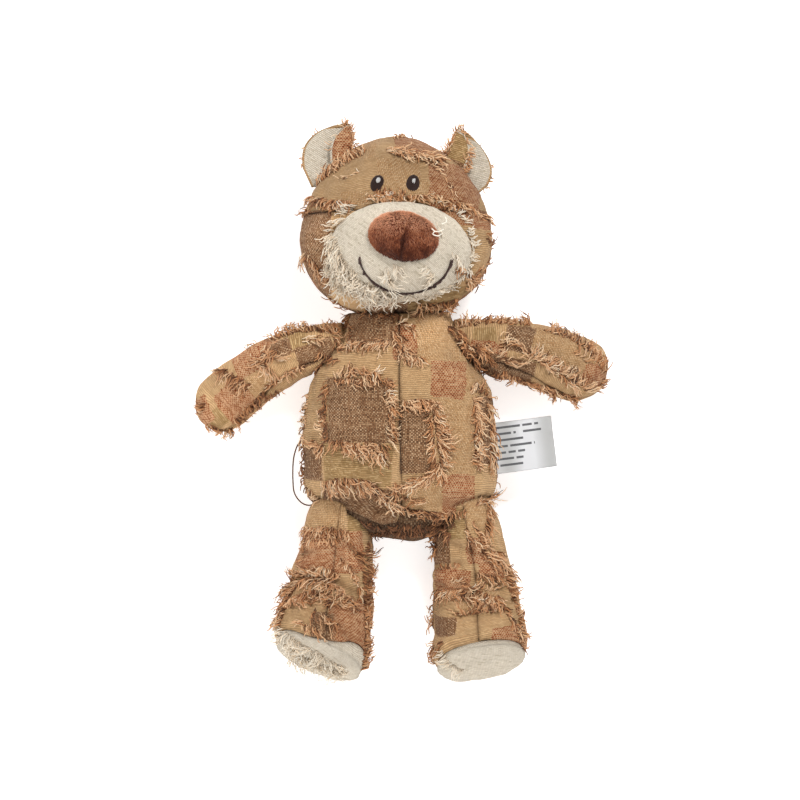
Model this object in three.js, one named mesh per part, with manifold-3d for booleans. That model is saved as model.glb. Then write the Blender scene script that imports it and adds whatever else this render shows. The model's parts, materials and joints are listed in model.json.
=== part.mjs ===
// Patchwork teddy bear, a stuffed toy with a squeaker, lying on its back with its face up.
//
// The toy is cut from cloth panels that are sewn edge to edge and filled with fibre. Here each panel is a
// closed curved plate as thick as the cloth, each filling is one solid inside its cover, and the seams are
// fine gaps.
//
// Millimetres. +Y runs to the head, +Z to the face, +X to the bear's own left. Z = 0 is the surface it
// lies on.

import * as THREE from "three";
import { mergeVertices } from "three/addons/utils/BufferGeometryUtils.js";
import Module from "manifold-3d";

const wasm = await Module();
wasm.setup();

// ---------------------------------------------------------------- driving dimensions

const CLOTH = 1.5; // a woven panel with its lining
const GAP = 0.3; // left free between two pieces that touch
const CORE = 5; // from the outside of a cover to its filling, past the turned-in seam allowances
const FAR = 400; // larger than the toy, for cutting solids
const MERGE = 1e-4; // vertices closer than this are one

// A limb or the body is a row of rings: [x, y, z, half width, half depth, heading, lean].
// The heading is the way the row runs, in degrees from +X towards +Y. The lean tips it up towards +Z.
const TORSO = {
  rings: [
    [-1, 50, 36, 30, 24, -90, 0],
    [-1, 30, 36, 41, 32, -90, 0],
    [-1, 8, 37, 52, 37.5, -90, 0],
    [-0.5, -18, 37, 55, 40, -90, 0],
    [0, -44, 35, 55.5, 37.5, -90, 0],
    [0, -58, 30, 51, 29, -90, 0],
  ],
  domes: [8, 20],
  boxiness: 2.25,
};
const TORSO_SIDE_SEAM = 40; // height of the side seams
const TORSO_BASE_SEAM = -60; // where the front and back panels meet the base panel

const ARM_RIGHT = {
  rings: [
    [-31, 34.5, 40, 12.5, 14, 192, -7],
    [-57, 29, 36, 14, 14.5, 200, -12],
    [-74, 21.5, 30, 15.2, 15, 208, -14],
    [-90, 11.5, 23, 16.6, 15.5, 216, -12],
    [-102, 2, 18, 17.4, 16, 222, -8],
  ],
  domes: [4, 18.5],
  boxiness: 2.2,
};
const ARM_LEFT = {
  rings: [
    [29, 34.5, 40, 14, 14.5, -4, -7],
    [52, 32, 38, 16.5, 15.5, -4, -10],
    [70, 30, 32, 18, 16, -10, -14],
    [88, 25, 25, 19.2, 16.5, -16, -13],
    [102, 20.5, 19, 18.6, 16.5, -16, -8],
  ],
  domes: [4, 19],
  boxiness: 2.2,
};

const LEG_RIGHT = {
  rings: [
    [-33, -52, 36, 17, 20, -90, 0],
    [-36, -72, 30, 20, 22.5, -92, 0],
    [-38, -92, 25, 22, 23, -94, 0],
    [-40.5, -110, 24, 24.5, 23.5, -98, 6],
    [-43.5, -125, 26.5, 27.5, 25.5, -104, 16],
    [-46, -139, 29, 28.5, 27.5, -110, 26],
    [-47.5, -146, 30.5, 26.5, 26, -112, 28],
  ],
  domes: [4, 3],
  boxiness: 2.2,
};
const LEG_LEFT = {
  rings: [
    [34, -52, 36, 17, 20, -90, 0],
    [37.5, -72, 30, 19, 22.5, -89, 0],
    [41.5, -92, 25, 22.5, 23, -87, 0],
    [43.2, -110, 24, 24.7, 23.5, -85, 6],
    [44, -125, 26.5, 26, 25.5, -83, 16],
    [45.5, -141, 29, 27.5, 27.5, -81, 26],
    [46.5, -149, 30.5, 26, 26.5, -80, 28],
  ],
  domes: [4, 3],
  boxiness: 2.2,
};
const SOLE_DEPTH = 4.5; // the sole takes this much of the foot's end

// Facets around a form, and along it.
const LIMB_GRID = [13, 6];
const TORSO_GRID = [20, 8];
const HEAD_GRID = [22, 12];
const MUZZLE_GRID = [18, 10];
const NOSE_GRID = [16, 8];
const EYE_GRID = [10, 6];
const EAR_GRID = [12, 6];
const DOME_ROWS = 2;
const SQUEAKER_FACETS = 12;
const CORNER_STEPS = 2;
const ROD_FACETS = 10;
const STITCH_STEPS = 3;
const LABEL_STEPS = 8;

const HEAD = { x: -2.8, y: 99.5, z: 42, front: 42, back: 45, boxiness: 2.25 };
const HEAD_OUTLINE = { radius: 53.2, low: 1.4, cheeks: 2, width: 1.2 }; // how far it is from a circle
const HEAD_CROWN_SEAM = 46; // height of the seam from ear to ear, between face and back of the head
const HEAD_BROW_SEAM = 107; // where the forehead meets the cheeks
const MUZZLE = { x: -0.6, y: 85.6, z: 66, halfWidth: 40.6, halfHeight: 29.4, halfDepth: 41, roll: -3 };
const NOSE = { x: 1.4, y: 90.5, z: 104.5, halfWidth: 19, halfHeight: 13.4, halfDepth: 11.5, roll: -9 };
const EYES = {
  left: { x: 6.6, y: 121.2, halfWidth: 3.4, halfHeight: 5, roll: -6 },
  right: { x: -13.1, y: 121.4, halfWidth: 3.2, halfHeight: 4.6, roll: -22 },
};
const EYE_THICKNESS = 1.4;
const EYE_REACH = 4; // half depth of the oval that is cut to an eye's patch
const SMILE = { x: 2.6, y: 81, halfWidth: 25, halfHeight: 20.4, fromAngle: 186, toAngle: 353, width: 1.8 };
const SMILE_STEPS = 14;

// An ear: where its root sits on the crown seam, how it turns about the face axis, and how far it faces out.
const EARS = {
  left: { x: 34.5, y: 135, z: 48, turn: -25, yaw: 30 },
  right: { x: -36.5, y: 135, z: 48, turn: 16, yaw: -30 },
};
const EAR = { halfWidth: 17.5, height: 36, root: 8, curl: 0.014, thickness: 1.8 };

const SQUEAKER = { x: 0, y: -18, z: 30, radius: 18, height: 17, wall: 1, corner: 5, mouth: 5 };
const REED = { above: 1.5, below: 5, bore: 2 };
const LABEL = { x: 51.5, y: -26, width: 37, height: 29.4, thickness: 0.5, seamZ: 37, endZ: 29, turn: 7 };
const LABEL_BEND = { at: 0.55, rise: 1 }; // where the tape starts to droop, as a share, and how high

// ---------------------------------------------------------------- turning geometry into solids and back

function toSolid(geometry) {
  const bare = geometry.index ? geometry.clone() : mergeVertices(geometry);
  bare.deleteAttribute("normal");
  bare.deleteAttribute("uv");
  const merged = mergeVertices(bare, MERGE);
  const corners = merged.index.array;
  const triangles = [];
  for (let i = 0; i < corners.length; i += 3) {
    const [a, b, c] = corners.slice(i, i + 3);
    if (a !== b && b !== c && c !== a) triangles.push(a, b, c); // a pole's flat triangles are left out
  }
  const mesh = new wasm.Mesh({
    numProp: 3,
    vertProperties: new Float32Array(merged.attributes.position.array),
    triVerts: new Uint32Array(triangles),
  });
  return new wasm.Manifold(mesh);
}

function toGeometry(solid) {
  const mesh = solid.getMesh();
  const geometry = new THREE.BufferGeometry();
  geometry.setAttribute("position", new THREE.BufferAttribute(new Float32Array(mesh.vertProperties), 3));
  geometry.setIndex(new THREE.BufferAttribute(new Uint32Array(mesh.triVerts), 1));
  geometry.computeVertexNormals();
  return geometry;
}

// Cutting a cover can leave crumbs at its edge. The piece is the largest body.
function largest(solid) {
  const bodies = solid.decompose();
  return bodies.reduce((a, b) => (b.volume() > a.volume() ? b : a));
}

// Everything on one side of a plane.
function beyond(point, normal) {
  const box = new THREE.BoxGeometry(FAR, FAR, FAR).translate(0, 0, FAR / 2);
  const towards = new THREE.Vector3(...normal).normalize();
  box.applyQuaternion(new THREE.Quaternion().setFromUnitVectors(new THREE.Vector3(0, 0, 1), towards));
  box.translate(...point);
  return toSolid(box);
}

// The two halves of a cover, with a seam gap between them.
function splitAt(cover, point, normal) {
  const away = normal.map((n) => -n);
  const shift = new THREE.Vector3(...normal).setLength(GAP / 2).toArray();
  const up = point.map((p, i) => p + shift[i]);
  const down = point.map((p, i) => p - shift[i]);
  return [cover.intersect(beyond(up, normal)), cover.intersect(beyond(down, away))];
}

// ---------------------------------------------------------------- stuffed forms

// A sphere's grid of vertices moved to place(row, angle). Row runs from 0 to 1, the angle once around.
function deformedSphere(around, rows, place) {
  const geometry = new THREE.SphereGeometry(1, around, rows);
  const position = geometry.attributes.position;
  for (let i = 0; i < position.count; i++) {
    const column = (i % (around + 1)) % around;
    const row = Math.floor(i / (around + 1));
    const p = place(row / rows, Math.PI - (2 * Math.PI * column) / around);
    position.setXYZ(i, p.x, p.y, p.z);
  }
  return geometry;
}

const power = (value, boxiness) => Math.sign(value) * Math.abs(value) ** (2 / boxiness);

// A smooth row of numbers between the listed rings.
function ringAt(rings, t) {
  const last = rings.length - 1;
  const k = Math.min(Math.floor(t * last), last - 1);
  const f = t * last - k;
  const [a, b, c, d] = [rings[Math.max(k - 1, 0)], rings[k], rings[k + 1], rings[Math.min(k + 2, last)]];
  return b.map((_, i) => {
    const slope = (c[i] - a[i]) / 2;
    const next = (d[i] - b[i]) / 2;
    const rise = c[i] - b[i];
    return b[i] + f * (slope + f * (3 * rise - 2 * slope - next + f * (slope + next - 2 * rise)));
  });
}

function ringFrame(heading, lean) {
  const h = THREE.MathUtils.degToRad(heading);
  const l = THREE.MathUtils.degToRad(lean);
  const along = new THREE.Vector3(Math.cos(h) * Math.cos(l), Math.sin(h) * Math.cos(l), Math.sin(l));
  const side = new THREE.Vector3(-Math.sin(h), Math.cos(h), 0);
  return { along, side, up: along.clone().cross(side) };
}

// A stuffed row of rings with a dome on each end. Where it would pass below the surface, it lies flat on it.
function stuffed(form, inset, [around, along]) {
  const rows = along + 2 * DOME_ROWS;
  const geometry = deformedSphere(around, rows, (fraction, angle) => {
    const row = Math.round(fraction * rows) - DOME_ROWS;
    const t = Math.min(Math.max(row / along, 0), 1);
    const [x, y, z, wide, deep, heading, lean] = ringAt(form.rings, t);
    const beyondEnd = row < 0 ? -row : Math.max(row - along, 0);
    const turn = (beyondEnd / DOME_ROWS) * (Math.PI / 2);
    const dome = (row < 0 ? -(form.domes[0] - inset) : form.domes[1] - inset) * Math.sin(turn);
    const size = Math.cos(turn);
    const { along: run, side, up } = ringFrame(heading, lean);
    const p = new THREE.Vector3(x, y, z);
    p.addScaledVector(run, beyondEnd ? dome : 0);
    p.addScaledVector(side, (wide - inset) * size * power(Math.cos(angle), form.boxiness));
    p.addScaledVector(up, (deep - inset) * size * power(Math.sin(angle), form.boxiness));
    p.z = Math.max(p.z, inset);
    return p;
  });
  return toSolid(geometry);
}

// The outline of the head seen from the front, full at the cheeks and flatter at the brow and the chin.
function headRadius(a) {
  const { radius, low, cheeks, width } = HEAD_OUTLINE;
  return radius - low * Math.sin(a) - cheeks * Math.sin(3 * a) + width * Math.cos(2 * a);
}

function headForm(inset) {
  const geometry = deformedSphere(...HEAD_GRID, (fraction, angle) => {
    const turn = fraction * Math.PI;
    const out = power(Math.sin(turn), HEAD.boxiness) * (headRadius(-angle) - inset);
    const depth = turn < Math.PI / 2 ? HEAD.front : HEAD.back;
    const z = HEAD.z + (depth - inset) * power(Math.cos(turn), HEAD.boxiness);
    const x = HEAD.x + out * Math.cos(angle);
    const y = HEAD.y - out * Math.sin(angle);
    return new THREE.Vector3(x, y, Math.max(z, inset));
  });
  return toSolid(geometry);
}

function ellipsoid({ x, y, z, halfWidth, halfHeight, halfDepth, roll }, inset, [around, rows]) {
  const geometry = new THREE.SphereGeometry(1, around, rows);
  geometry.rotateX(Math.PI / 2);
  geometry.scale(halfWidth - inset, halfHeight - inset, halfDepth - inset);
  geometry.rotateZ(THREE.MathUtils.degToRad(roll));
  geometry.translate(x, y, z);
  return toSolid(geometry);
}

// ---------------------------------------------------------------- the scene graph

const toy = new THREE.Group();

const finishes = {
  tanCloth: new THREE.MeshStandardMaterial({ color: 0xb99163, roughness: 0.95, metalness: 0 }),
  rustCloth: new THREE.MeshStandardMaterial({ color: 0xa8754a, roughness: 0.95, metalness: 0 }),
  creamCloth: new THREE.MeshStandardMaterial({ color: 0xddd3c0, roughness: 0.95, metalness: 0 }),
  nosePlush: new THREE.MeshStandardMaterial({ color: 0x8a4327, roughness: 0.9, metalness: 0 }),
  darkThread: new THREE.MeshStandardMaterial({ color: 0x2c1a16, roughness: 0.6, metalness: 0 }),
  fibre: new THREE.MeshStandardMaterial({ color: 0xf2f0ea, roughness: 1, metalness: 0 }),
  satin: new THREE.MeshStandardMaterial({ color: 0xdcdee0, roughness: 0.4, metalness: 0 }),
  softPlastic: new THREE.MeshStandardMaterial({ color: 0xe8e4d4, roughness: 0.45, metalness: 0 }),
};

function place(name, solid, finish) {
  const mesh = new THREE.Mesh(toGeometry(largest(solid)), finishes[finish]);
  mesh.name = name;
  toy.add(mesh);
}

// ---------------------------------------------------------------- outer forms, and how far others keep off

const grown = -GAP;
const headOuter = headForm(0);
const headKeepOut = headForm(grown);
const torsoKeepOut = stuffed(TORSO, grown, TORSO_GRID);
const muzzleKeepOut = ellipsoid(MUZZLE, grown, MUZZLE_GRID);

// ---------------------------------------------------------------- head

const headCover = headOuter.subtract(headForm(CLOTH)).subtract(muzzleKeepOut);
const [faceCover, backCover] = splitAt(headCover, [0, 0, HEAD_CROWN_SEAM], [0, 0, 1]);
const [forehead, cheeks] = splitAt(faceCover, [0, HEAD_BROW_SEAM, 0], [0, 1, 0]);
const [cheekLeft, cheekRight] = splitAt(cheeks, [HEAD.x, 0, 0], [1, 0, 0]);
const [backLeft, backRight] = splitAt(backCover, [HEAD.x, 0, 0], [1, 0, 0]);
place("head_forehead", forehead, "tanCloth");
place("head_cheek_left", cheekLeft, "tanCloth");
place("head_cheek_right", cheekRight, "tanCloth");
place("head_back_left", backLeft, "rustCloth");
place("head_back_right", backRight, "rustCloth");

const muzzleOuter = ellipsoid(MUZZLE, 0, MUZZLE_GRID);
const muzzleCover = muzzleOuter.subtract(ellipsoid(MUZZLE, CLOTH, MUZZLE_GRID)).subtract(headForm(CLOTH));
place("muzzle", muzzleCover, "creamCloth");
place("head_stuffing", headForm(CORE).add(ellipsoid(MUZZLE, CORE, MUZZLE_GRID)), "fibre");

const nose = ellipsoid(NOSE, 0, NOSE_GRID).subtract(muzzleKeepOut);
place("nose", nose, "nosePlush");

// ---------------------------------------------------------------- embroidery

for (const side of ["left", "right"]) {
  const eye = EYES[side];
  const onFace = Math.hypot(eye.x - HEAD.x, eye.y - HEAD.y) / headRadius(Math.PI / 2);
  const z = HEAD.z + HEAD.front * (1 - onFace ** HEAD.boxiness) ** (1 / HEAD.boxiness);
  const patch = ellipsoid({ ...eye, z, halfDepth: EYE_REACH }, 0, EYE_GRID);
  const stitched = patch.intersect(headForm(grown - EYE_THICKNESS)).subtract(headKeepOut);
  place(`eye_${side}`, stitched.subtract(muzzleKeepOut), "darkThread");
}

// The mouth is one line of stitches along an arc that follows the muzzle.
function smileArc() {
  const points = [];
  const { halfWidth, halfHeight, halfDepth } = MUZZLE;
  for (let i = 0; i <= SMILE_STEPS; i++) {
    const share = i / SMILE_STEPS;
    const a = THREE.MathUtils.degToRad(THREE.MathUtils.lerp(SMILE.fromAngle, SMILE.toAngle, share));
    const x = SMILE.x + SMILE.halfWidth * Math.cos(a);
    const y = SMILE.y + SMILE.halfHeight * Math.sin(a);
    const across = Math.hypot((x - MUZZLE.x) / halfWidth, (y - MUZZLE.y) / halfHeight);
    points.push(new THREE.Vector3(x, y, MUZZLE.z + halfDepth * Math.sqrt(Math.max(1 - across * across, 0))));
  }
  return new THREE.CatmullRomCurve3(points);
}
const stitch = new THREE.Shape().absarc(0, 0, SMILE.width / 2, 0, 2 * Math.PI);
const smilePath = { steps: SMILE_STEPS, curveSegments: STITCH_STEPS, extrudePath: smileArc() };
const smile = new THREE.ExtrudeGeometry(stitch, smilePath);
place("smile", toSolid(smile).subtract(muzzleKeepOut), "darkThread");

// ---------------------------------------------------------------- ears

// A flat rounded leaf with its root on the origin, curled forward across its width.
function earLeaf(lift) {
  return deformedSphere(...EAR_GRID, (fraction, angle) => {
    const turn = fraction * Math.PI;
    const out = Math.sin(turn);
    const x = EAR.halfWidth * out * Math.cos(angle);
    const y = EAR.height / 2 - EAR.root - (EAR.height / 2) * out * Math.sin(angle);
    const z = (EAR.thickness / 2) * Math.cos(turn) + EAR.curl * x * x + lift;
    return new THREE.Vector3(x, y, z);
  });
}

const earLayers = {
  front: { lift: (EAR.thickness + GAP) / 2, finish: "creamCloth" },
  back: { lift: -(EAR.thickness + GAP) / 2, finish: "rustCloth" },
};
for (const side of ["left", "right"]) {
  const ear = EARS[side];
  for (const [name, { lift, finish }] of Object.entries(earLayers)) {
    const leaf = earLeaf(lift);
    leaf.rotateY(THREE.MathUtils.degToRad(ear.yaw));
    leaf.rotateZ(THREE.MathUtils.degToRad(ear.turn));
    leaf.translate(ear.x, ear.y, ear.z);
    place(`ear_${side}_${name}`, toSolid(leaf).subtract(headKeepOut), finish);
  }
}

// ---------------------------------------------------------------- limbs

const limbs = {
  arm_left: { form: ARM_LEFT, finish: "rustCloth" },
  arm_right: { form: ARM_RIGHT, finish: "rustCloth" },
  leg_left: { form: LEG_LEFT, finish: "tanCloth" },
  leg_right: { form: LEG_RIGHT, finish: "tanCloth" },
};

for (const [name, { form, finish }] of Object.entries(limbs)) {
  const outer = stuffed(form, 0, LIMB_GRID);
  const cover = outer.subtract(stuffed(form, CLOTH, LIMB_GRID)).subtract(torsoKeepOut);
  const middle = ringAt(form.rings, 0.5);
  const [x, y, z, , , heading, lean] = middle;
  const { side, up } = ringFrame(heading, lean);
  if (name.startsWith("arm")) {
    const [front, back] = splitAt(cover, [x, y, z], up.toArray());
    place(`${name}_front`, front, finish);
    place(`${name}_back`, back, finish);
  } else {
    const [ex, ey, ez, , , endHeading, endLean] = form.rings.at(-1);
    const { along } = ringFrame(endHeading, endLean);
    const edge = new THREE.Vector3(ex, ey, ez).addScaledVector(along, form.domes[1] - SOLE_DEPTH);
    const [sole, leg] = splitAt(cover, edge.toArray(), along.toArray());
    place(name.replace("leg", "sole"), sole, "creamCloth");
    const outwards = Math.sign(x) * Math.sign(side.x);
    const [outerHalf, innerHalf] = splitAt(leg, [x, y, z], side.multiplyScalar(outwards).toArray());
    place(`${name}_outer`, outerHalf, finish);
    place(`${name}_inner`, innerHalf, finish);
  }
  place(`${name}_stuffing`, stuffed(form, CORE, LIMB_GRID).subtract(torsoKeepOut), "fibre");
}

// ---------------------------------------------------------------- body

const torsoShell = stuffed(TORSO, 0, TORSO_GRID).subtract(stuffed(TORSO, CLOTH, TORSO_GRID));
const torsoCover = torsoShell.subtract(headKeepOut);
const [bodyCover, baseCover] = splitAt(torsoCover, [0, TORSO_BASE_SEAM, 0], [0, 1, 0]);
const [frontCover, rearCover] = splitAt(bodyCover, [0, 0, TORSO_SIDE_SEAM], [0, 0, 1]);
const [frontLeft, frontRight] = splitAt(frontCover, [0, 0, 0], [1, 0, 0]);
const [rearLeft, rearRight] = splitAt(rearCover, [0, 0, 0], [1, 0, 0]);
place("torso_front_left", frontLeft, "tanCloth");
place("torso_front_right", frontRight, "rustCloth");
place("torso_back_left", rearLeft, "rustCloth");
place("torso_back_right", rearRight, "tanCloth");
place("torso_base", baseCover, "rustCloth");

// ---------------------------------------------------------------- filling of the body, and the squeaker

function squeakerShape(extra) {
  const { radius, height, corner } = SQUEAKER;
  const profile = new THREE.Path();
  profile.moveTo(0, -height / 2 - extra);
  profile.lineTo(radius - corner, -height / 2 - extra);
  profile.absarc(radius - corner, corner - height / 2, corner + extra, -Math.PI / 2, 0);
  profile.absarc(radius - corner, height / 2 - corner, corner + extra, 0, Math.PI / 2);
  profile.lineTo(0, height / 2 + extra);
  const bladder = new THREE.LatheGeometry(profile.getPoints(CORNER_STEPS), SQUEAKER_FACETS);
  return toSolid(bladder.rotateX(Math.PI / 2).translate(SQUEAKER.x, SQUEAKER.y, SQUEAKER.z));
}

function plug(radius, from, to) {
  const length = to - from;
  const rod = new THREE.CylinderGeometry(radius, radius, length, ROD_FACETS).rotateX(Math.PI / 2);
  return toSolid(rod.translate(SQUEAKER.x, SQUEAKER.y, (from + to) / 2));
}

const squeakerTop = SQUEAKER.z + SQUEAKER.height / 2;
const bladder = squeakerShape(0).subtract(squeakerShape(-SQUEAKER.wall));
const mouthHole = plug(SQUEAKER.mouth, SQUEAKER.z, squeakerTop + 1);
place("squeaker_bladder", bladder.subtract(mouthHole), "softPlastic");
const reed = plug(SQUEAKER.mouth - GAP, squeakerTop - REED.below, squeakerTop + REED.above);
const airHole = plug(REED.bore, squeakerTop - REED.below - 1, squeakerTop + REED.above + 1);
place("squeaker_reed", reed.subtract(airHole), "softPlastic");

// The fibre leaves a pocket for the squeaker, reached from the front.
const pocket = squeakerShape(GAP).add(plug(SQUEAKER.mouth + 1, SQUEAKER.z, SQUEAKER.z + FAR / 4));
const bodyFibre = stuffed(TORSO, CORE, TORSO_GRID).subtract(headKeepOut).subtract(pocket);
place("torso_stuffing", bodyFibre, "fibre");

// ---------------------------------------------------------------- care label in the side seam

const drop = new THREE.Shape();
drop.moveTo(0, LABEL.seamZ);
const bendX = LABEL.width * LABEL_BEND.at;
const bendZ = LABEL.seamZ + LABEL_BEND.rise;
drop.quadraticCurveTo(bendX, bendZ, LABEL.width, LABEL.endZ);
drop.lineTo(LABEL.width, LABEL.endZ - LABEL.thickness);
drop.quadraticCurveTo(bendX, bendZ - LABEL.thickness, 0, LABEL.seamZ - LABEL.thickness);
drop.closePath();
const tapeDepth = { depth: LABEL.height, bevelEnabled: false, curveSegments: LABEL_STEPS };
const label = new THREE.ExtrudeGeometry(drop, tapeDepth);
label.rotateX(Math.PI / 2);
label.translate(0, LABEL.height / 2, 0);
label.rotateZ(THREE.MathUtils.degToRad(LABEL.turn));
label.translate(LABEL.x, LABEL.y, 0);
place("care_label", toSolid(label).subtract(torsoKeepOut), "satin");

export default toy;
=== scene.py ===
# %% [markdown]
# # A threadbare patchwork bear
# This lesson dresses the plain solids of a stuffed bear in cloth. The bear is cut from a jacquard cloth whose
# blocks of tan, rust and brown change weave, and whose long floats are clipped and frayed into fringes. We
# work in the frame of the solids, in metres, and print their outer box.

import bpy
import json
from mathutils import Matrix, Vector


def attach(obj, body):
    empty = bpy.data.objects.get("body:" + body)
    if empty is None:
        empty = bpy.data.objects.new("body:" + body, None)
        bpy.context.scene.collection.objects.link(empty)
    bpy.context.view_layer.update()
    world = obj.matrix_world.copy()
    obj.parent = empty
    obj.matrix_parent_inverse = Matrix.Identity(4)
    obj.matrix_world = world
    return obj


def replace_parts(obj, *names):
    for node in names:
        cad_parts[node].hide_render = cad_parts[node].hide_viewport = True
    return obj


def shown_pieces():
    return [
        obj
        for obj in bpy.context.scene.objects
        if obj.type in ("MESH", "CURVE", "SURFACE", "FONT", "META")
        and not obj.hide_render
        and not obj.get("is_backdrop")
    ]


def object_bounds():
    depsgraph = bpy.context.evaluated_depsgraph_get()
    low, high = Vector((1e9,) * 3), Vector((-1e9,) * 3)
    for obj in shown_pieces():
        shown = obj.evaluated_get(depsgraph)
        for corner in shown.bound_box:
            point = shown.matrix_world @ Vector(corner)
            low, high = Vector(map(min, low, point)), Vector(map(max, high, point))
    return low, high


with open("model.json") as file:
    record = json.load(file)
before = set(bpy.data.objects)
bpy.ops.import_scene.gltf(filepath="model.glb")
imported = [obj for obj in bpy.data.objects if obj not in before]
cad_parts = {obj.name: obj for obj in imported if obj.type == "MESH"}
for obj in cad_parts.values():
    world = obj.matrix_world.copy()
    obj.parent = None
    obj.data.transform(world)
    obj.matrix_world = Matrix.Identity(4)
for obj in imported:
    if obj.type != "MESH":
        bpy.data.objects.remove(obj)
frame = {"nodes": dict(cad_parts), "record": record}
cad_box = [list(corner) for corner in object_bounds()]

import json
import math

import bmesh
import bpy
import numpy as np
from mathutils import Vector
from mathutils.bvhtree import BVHTree

MM = 0.001
print("box in mm", [[round(c / MM, 1) for c in corner] for corner in cad_box])

# %% [markdown]
# ## Camera
# The bear is limp, so it lies on its back and the camera hangs straight above it, as for a catalogue
# picture. A long lens from over a metre away keeps the nose from looking large. The width that the picture
# takes in and the height of the camera set the lens: width at the bear's belly over distance, times the
# sensor's width.

# %% Hang the camera over the belly
PICTURE_WIDTH = 452.8 * MM
BELLY_HEIGHT = 50 * MM
CAMERA_DISTANCE = 1.2
CAMERA_RIGHT, CAMERA_UP = -0.6 * MM, 2 * MM  # how far the camera hangs off the middle of the box

middle = [(low + high) / 2 for low, high in zip(*cad_box)]
lens = bpy.data.cameras.new("camera")
lens.sensor_width = 36
lens.lens = lens.sensor_width * CAMERA_DISTANCE / PICTURE_WIDTH
camera = bpy.data.objects.new("camera", lens)
camera.location = (middle[0] + CAMERA_RIGHT, middle[1] + CAMERA_UP, BELLY_HEIGHT + CAMERA_DISTANCE)
bpy.context.collection.objects.link(camera)
bpy.context.scene.camera = camera
print("lens", round(lens.lens, 1), "mm")

# %% [markdown]
# ## Light
# Soft studio light comes from large panels. The main one stands beyond the head and a little to the bear's
# left, so that the muzzle shades the chin and each thread throws a short shadow. Two weaker ones fill from
# the bear's right and from its feet, and the white room does the rest.

# %% Set up the light panels and the white room
ROOM_STRENGTH = 0.37


def light_panel(name, place, size, power, aim=(0, 0, 0.04)):
    data = bpy.data.lights.new(name, "AREA")
    data.shape = "DISK"
    data.size = size
    data.energy = power
    panel = bpy.data.objects.new(name, data)
    panel.location = place
    panel.rotation_euler = (Vector(aim) - Vector(place)).to_track_quat("-Z", "Y").to_euler()
    bpy.context.collection.objects.link(panel)


light_panel("main_light", (0.4, 0.9, 1.4), 0.5, 21)
light_panel("side_light", (-1.2, 0.4, 0.9), 0.8, 8)
light_panel("foot_light", (0.1, -1.3, 0.9), 0.9, 13)

world = bpy.data.worlds.new("white_room")
bpy.context.scene.world = world
world.use_nodes = True
background = world.node_tree.nodes["Background"].inputs
background["Color"].default_value = (1, 1, 1, 1)
background["Strength"].default_value = ROOM_STRENGTH
bpy.context.scene.view_settings.view_transform = "Standard"
print("lights", [light.name for light in bpy.data.lights])

# %% [markdown]
# ## Meshes from grids
# Everything soft here is a grid of points: rows run along a panel, columns run across it. A cloth panel is
# closed into a thin plate by a second grid a cloth's thickness further in and a rim round the edge, so that
# it is a real solid and not a film.

# %% Helpers that turn arrays into mesh objects
POLE_SIZE = 0.2  # a row of a grid that is smaller than this is a pole


def unit(vectors):
    return vectors / np.maximum(np.linalg.norm(vectors, axis=-1, keepdims=True), 1e-12)


def make_piece(name, points_mm, faces, material, values=None):
    """A mesh object from points in mm, a list of face arrays, and named values per point."""
    mesh = bpy.data.meshes.new(name)
    corners = np.concatenate([f.ravel() for f in faces]).astype(np.int32)
    sizes = np.concatenate([np.full(len(f), f.shape[1]) for f in faces])
    mesh.vertices.add(len(points_mm))
    mesh.vertices.foreach_set("co", (np.asarray(points_mm) * MM).astype(np.float32).ravel())
    mesh.loops.add(len(corners))
    mesh.loops.foreach_set("vertex_index", corners)
    mesh.polygons.add(len(sizes))
    mesh.polygons.foreach_set("loop_start", np.concatenate([[0], np.cumsum(sizes)[:-1]]).astype(np.int32))
    mesh.update(calc_edges=True)
    mesh.polygons.foreach_set("use_smooth", np.ones(len(sizes), bool))
    for key, value in (values or {}).items():
        value = np.asarray(value, np.float32)
        kind, field = ("FLOAT_VECTOR", "vector") if value.ndim == 2 else ("FLOAT", "value")
        mesh.attributes.new(key, kind, "POINT").data.foreach_set(field, value.ravel())
    mesh.validate()
    piece = bpy.data.objects.new(name, mesh)
    bpy.context.collection.objects.link(piece)
    mesh.materials.append(material)
    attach(piece, "root")
    return piece


def grid_normals(points):
    """Unit normals of a grid of points. A row that shrinks to a pole takes the next row's."""
    across = np.gradient(points, axis=1)
    down = np.gradient(points, axis=0)
    normals = np.cross(across, down)
    for row, neighbour in ((0, 1), (-1, -2)):
        if np.ptp(points[row], axis=0).max() < POLE_SIZE:
            normals[row] = normals[neighbour].mean(axis=0)
    return unit(normals)


# %% Faces of a plate, and turns in plan
def plate_faces(rows, columns, wrap):
    """Faces of a plate between two grids. With wrap, the last column meets the first."""
    index = np.arange(rows * columns).reshape(rows, columns)
    if wrap:
        index = np.concatenate([index, index[:, :1]], axis=1)
    quarters = (index[:-1, :-1], index[:-1, 1:], index[1:, 1:], index[1:, :-1])
    a, b, c, d = (quarter.ravel() for quarter in quarters)
    outer = np.stack([a, b, c, d], axis=1)
    inner = outer[:, ::-1] + rows * columns
    rims = [index[0][::-1], index[-1]] + ([] if wrap else [index[:, 0], index[::-1, -1]])
    rim = [np.stack([e[:-1], e[1:], e[1:] + rows * columns, e[:-1] + rows * columns], axis=1) for e in rims]
    return outer, inner, np.concatenate(rim)


def turned(x, y, angle):
    """A place in plan after a turn about the origin, in radians."""
    c, s = math.cos(angle), math.sin(angle)
    return c * x - s * y, s * x + c * y


# %% [markdown]
# ## The stuffed forms
# A limb or the body is a row of rings, the same rows that the solids were made from: x, y and z of the
# middle, half width, half depth, heading and lean. A smooth curve runs through the rings, a dome closes
# each end, and whatever would pass below the surface lies flat on it. Sculpting would also give such forms,
# but seams, cloth and threads all ask for points on them, so each form is a function of two numbers: how
# far along and what angle round.

# %% A row of rings as a function
def rounded(value, boxiness):
    return np.sign(value) * np.abs(value) ** (2 / boxiness)


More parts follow.
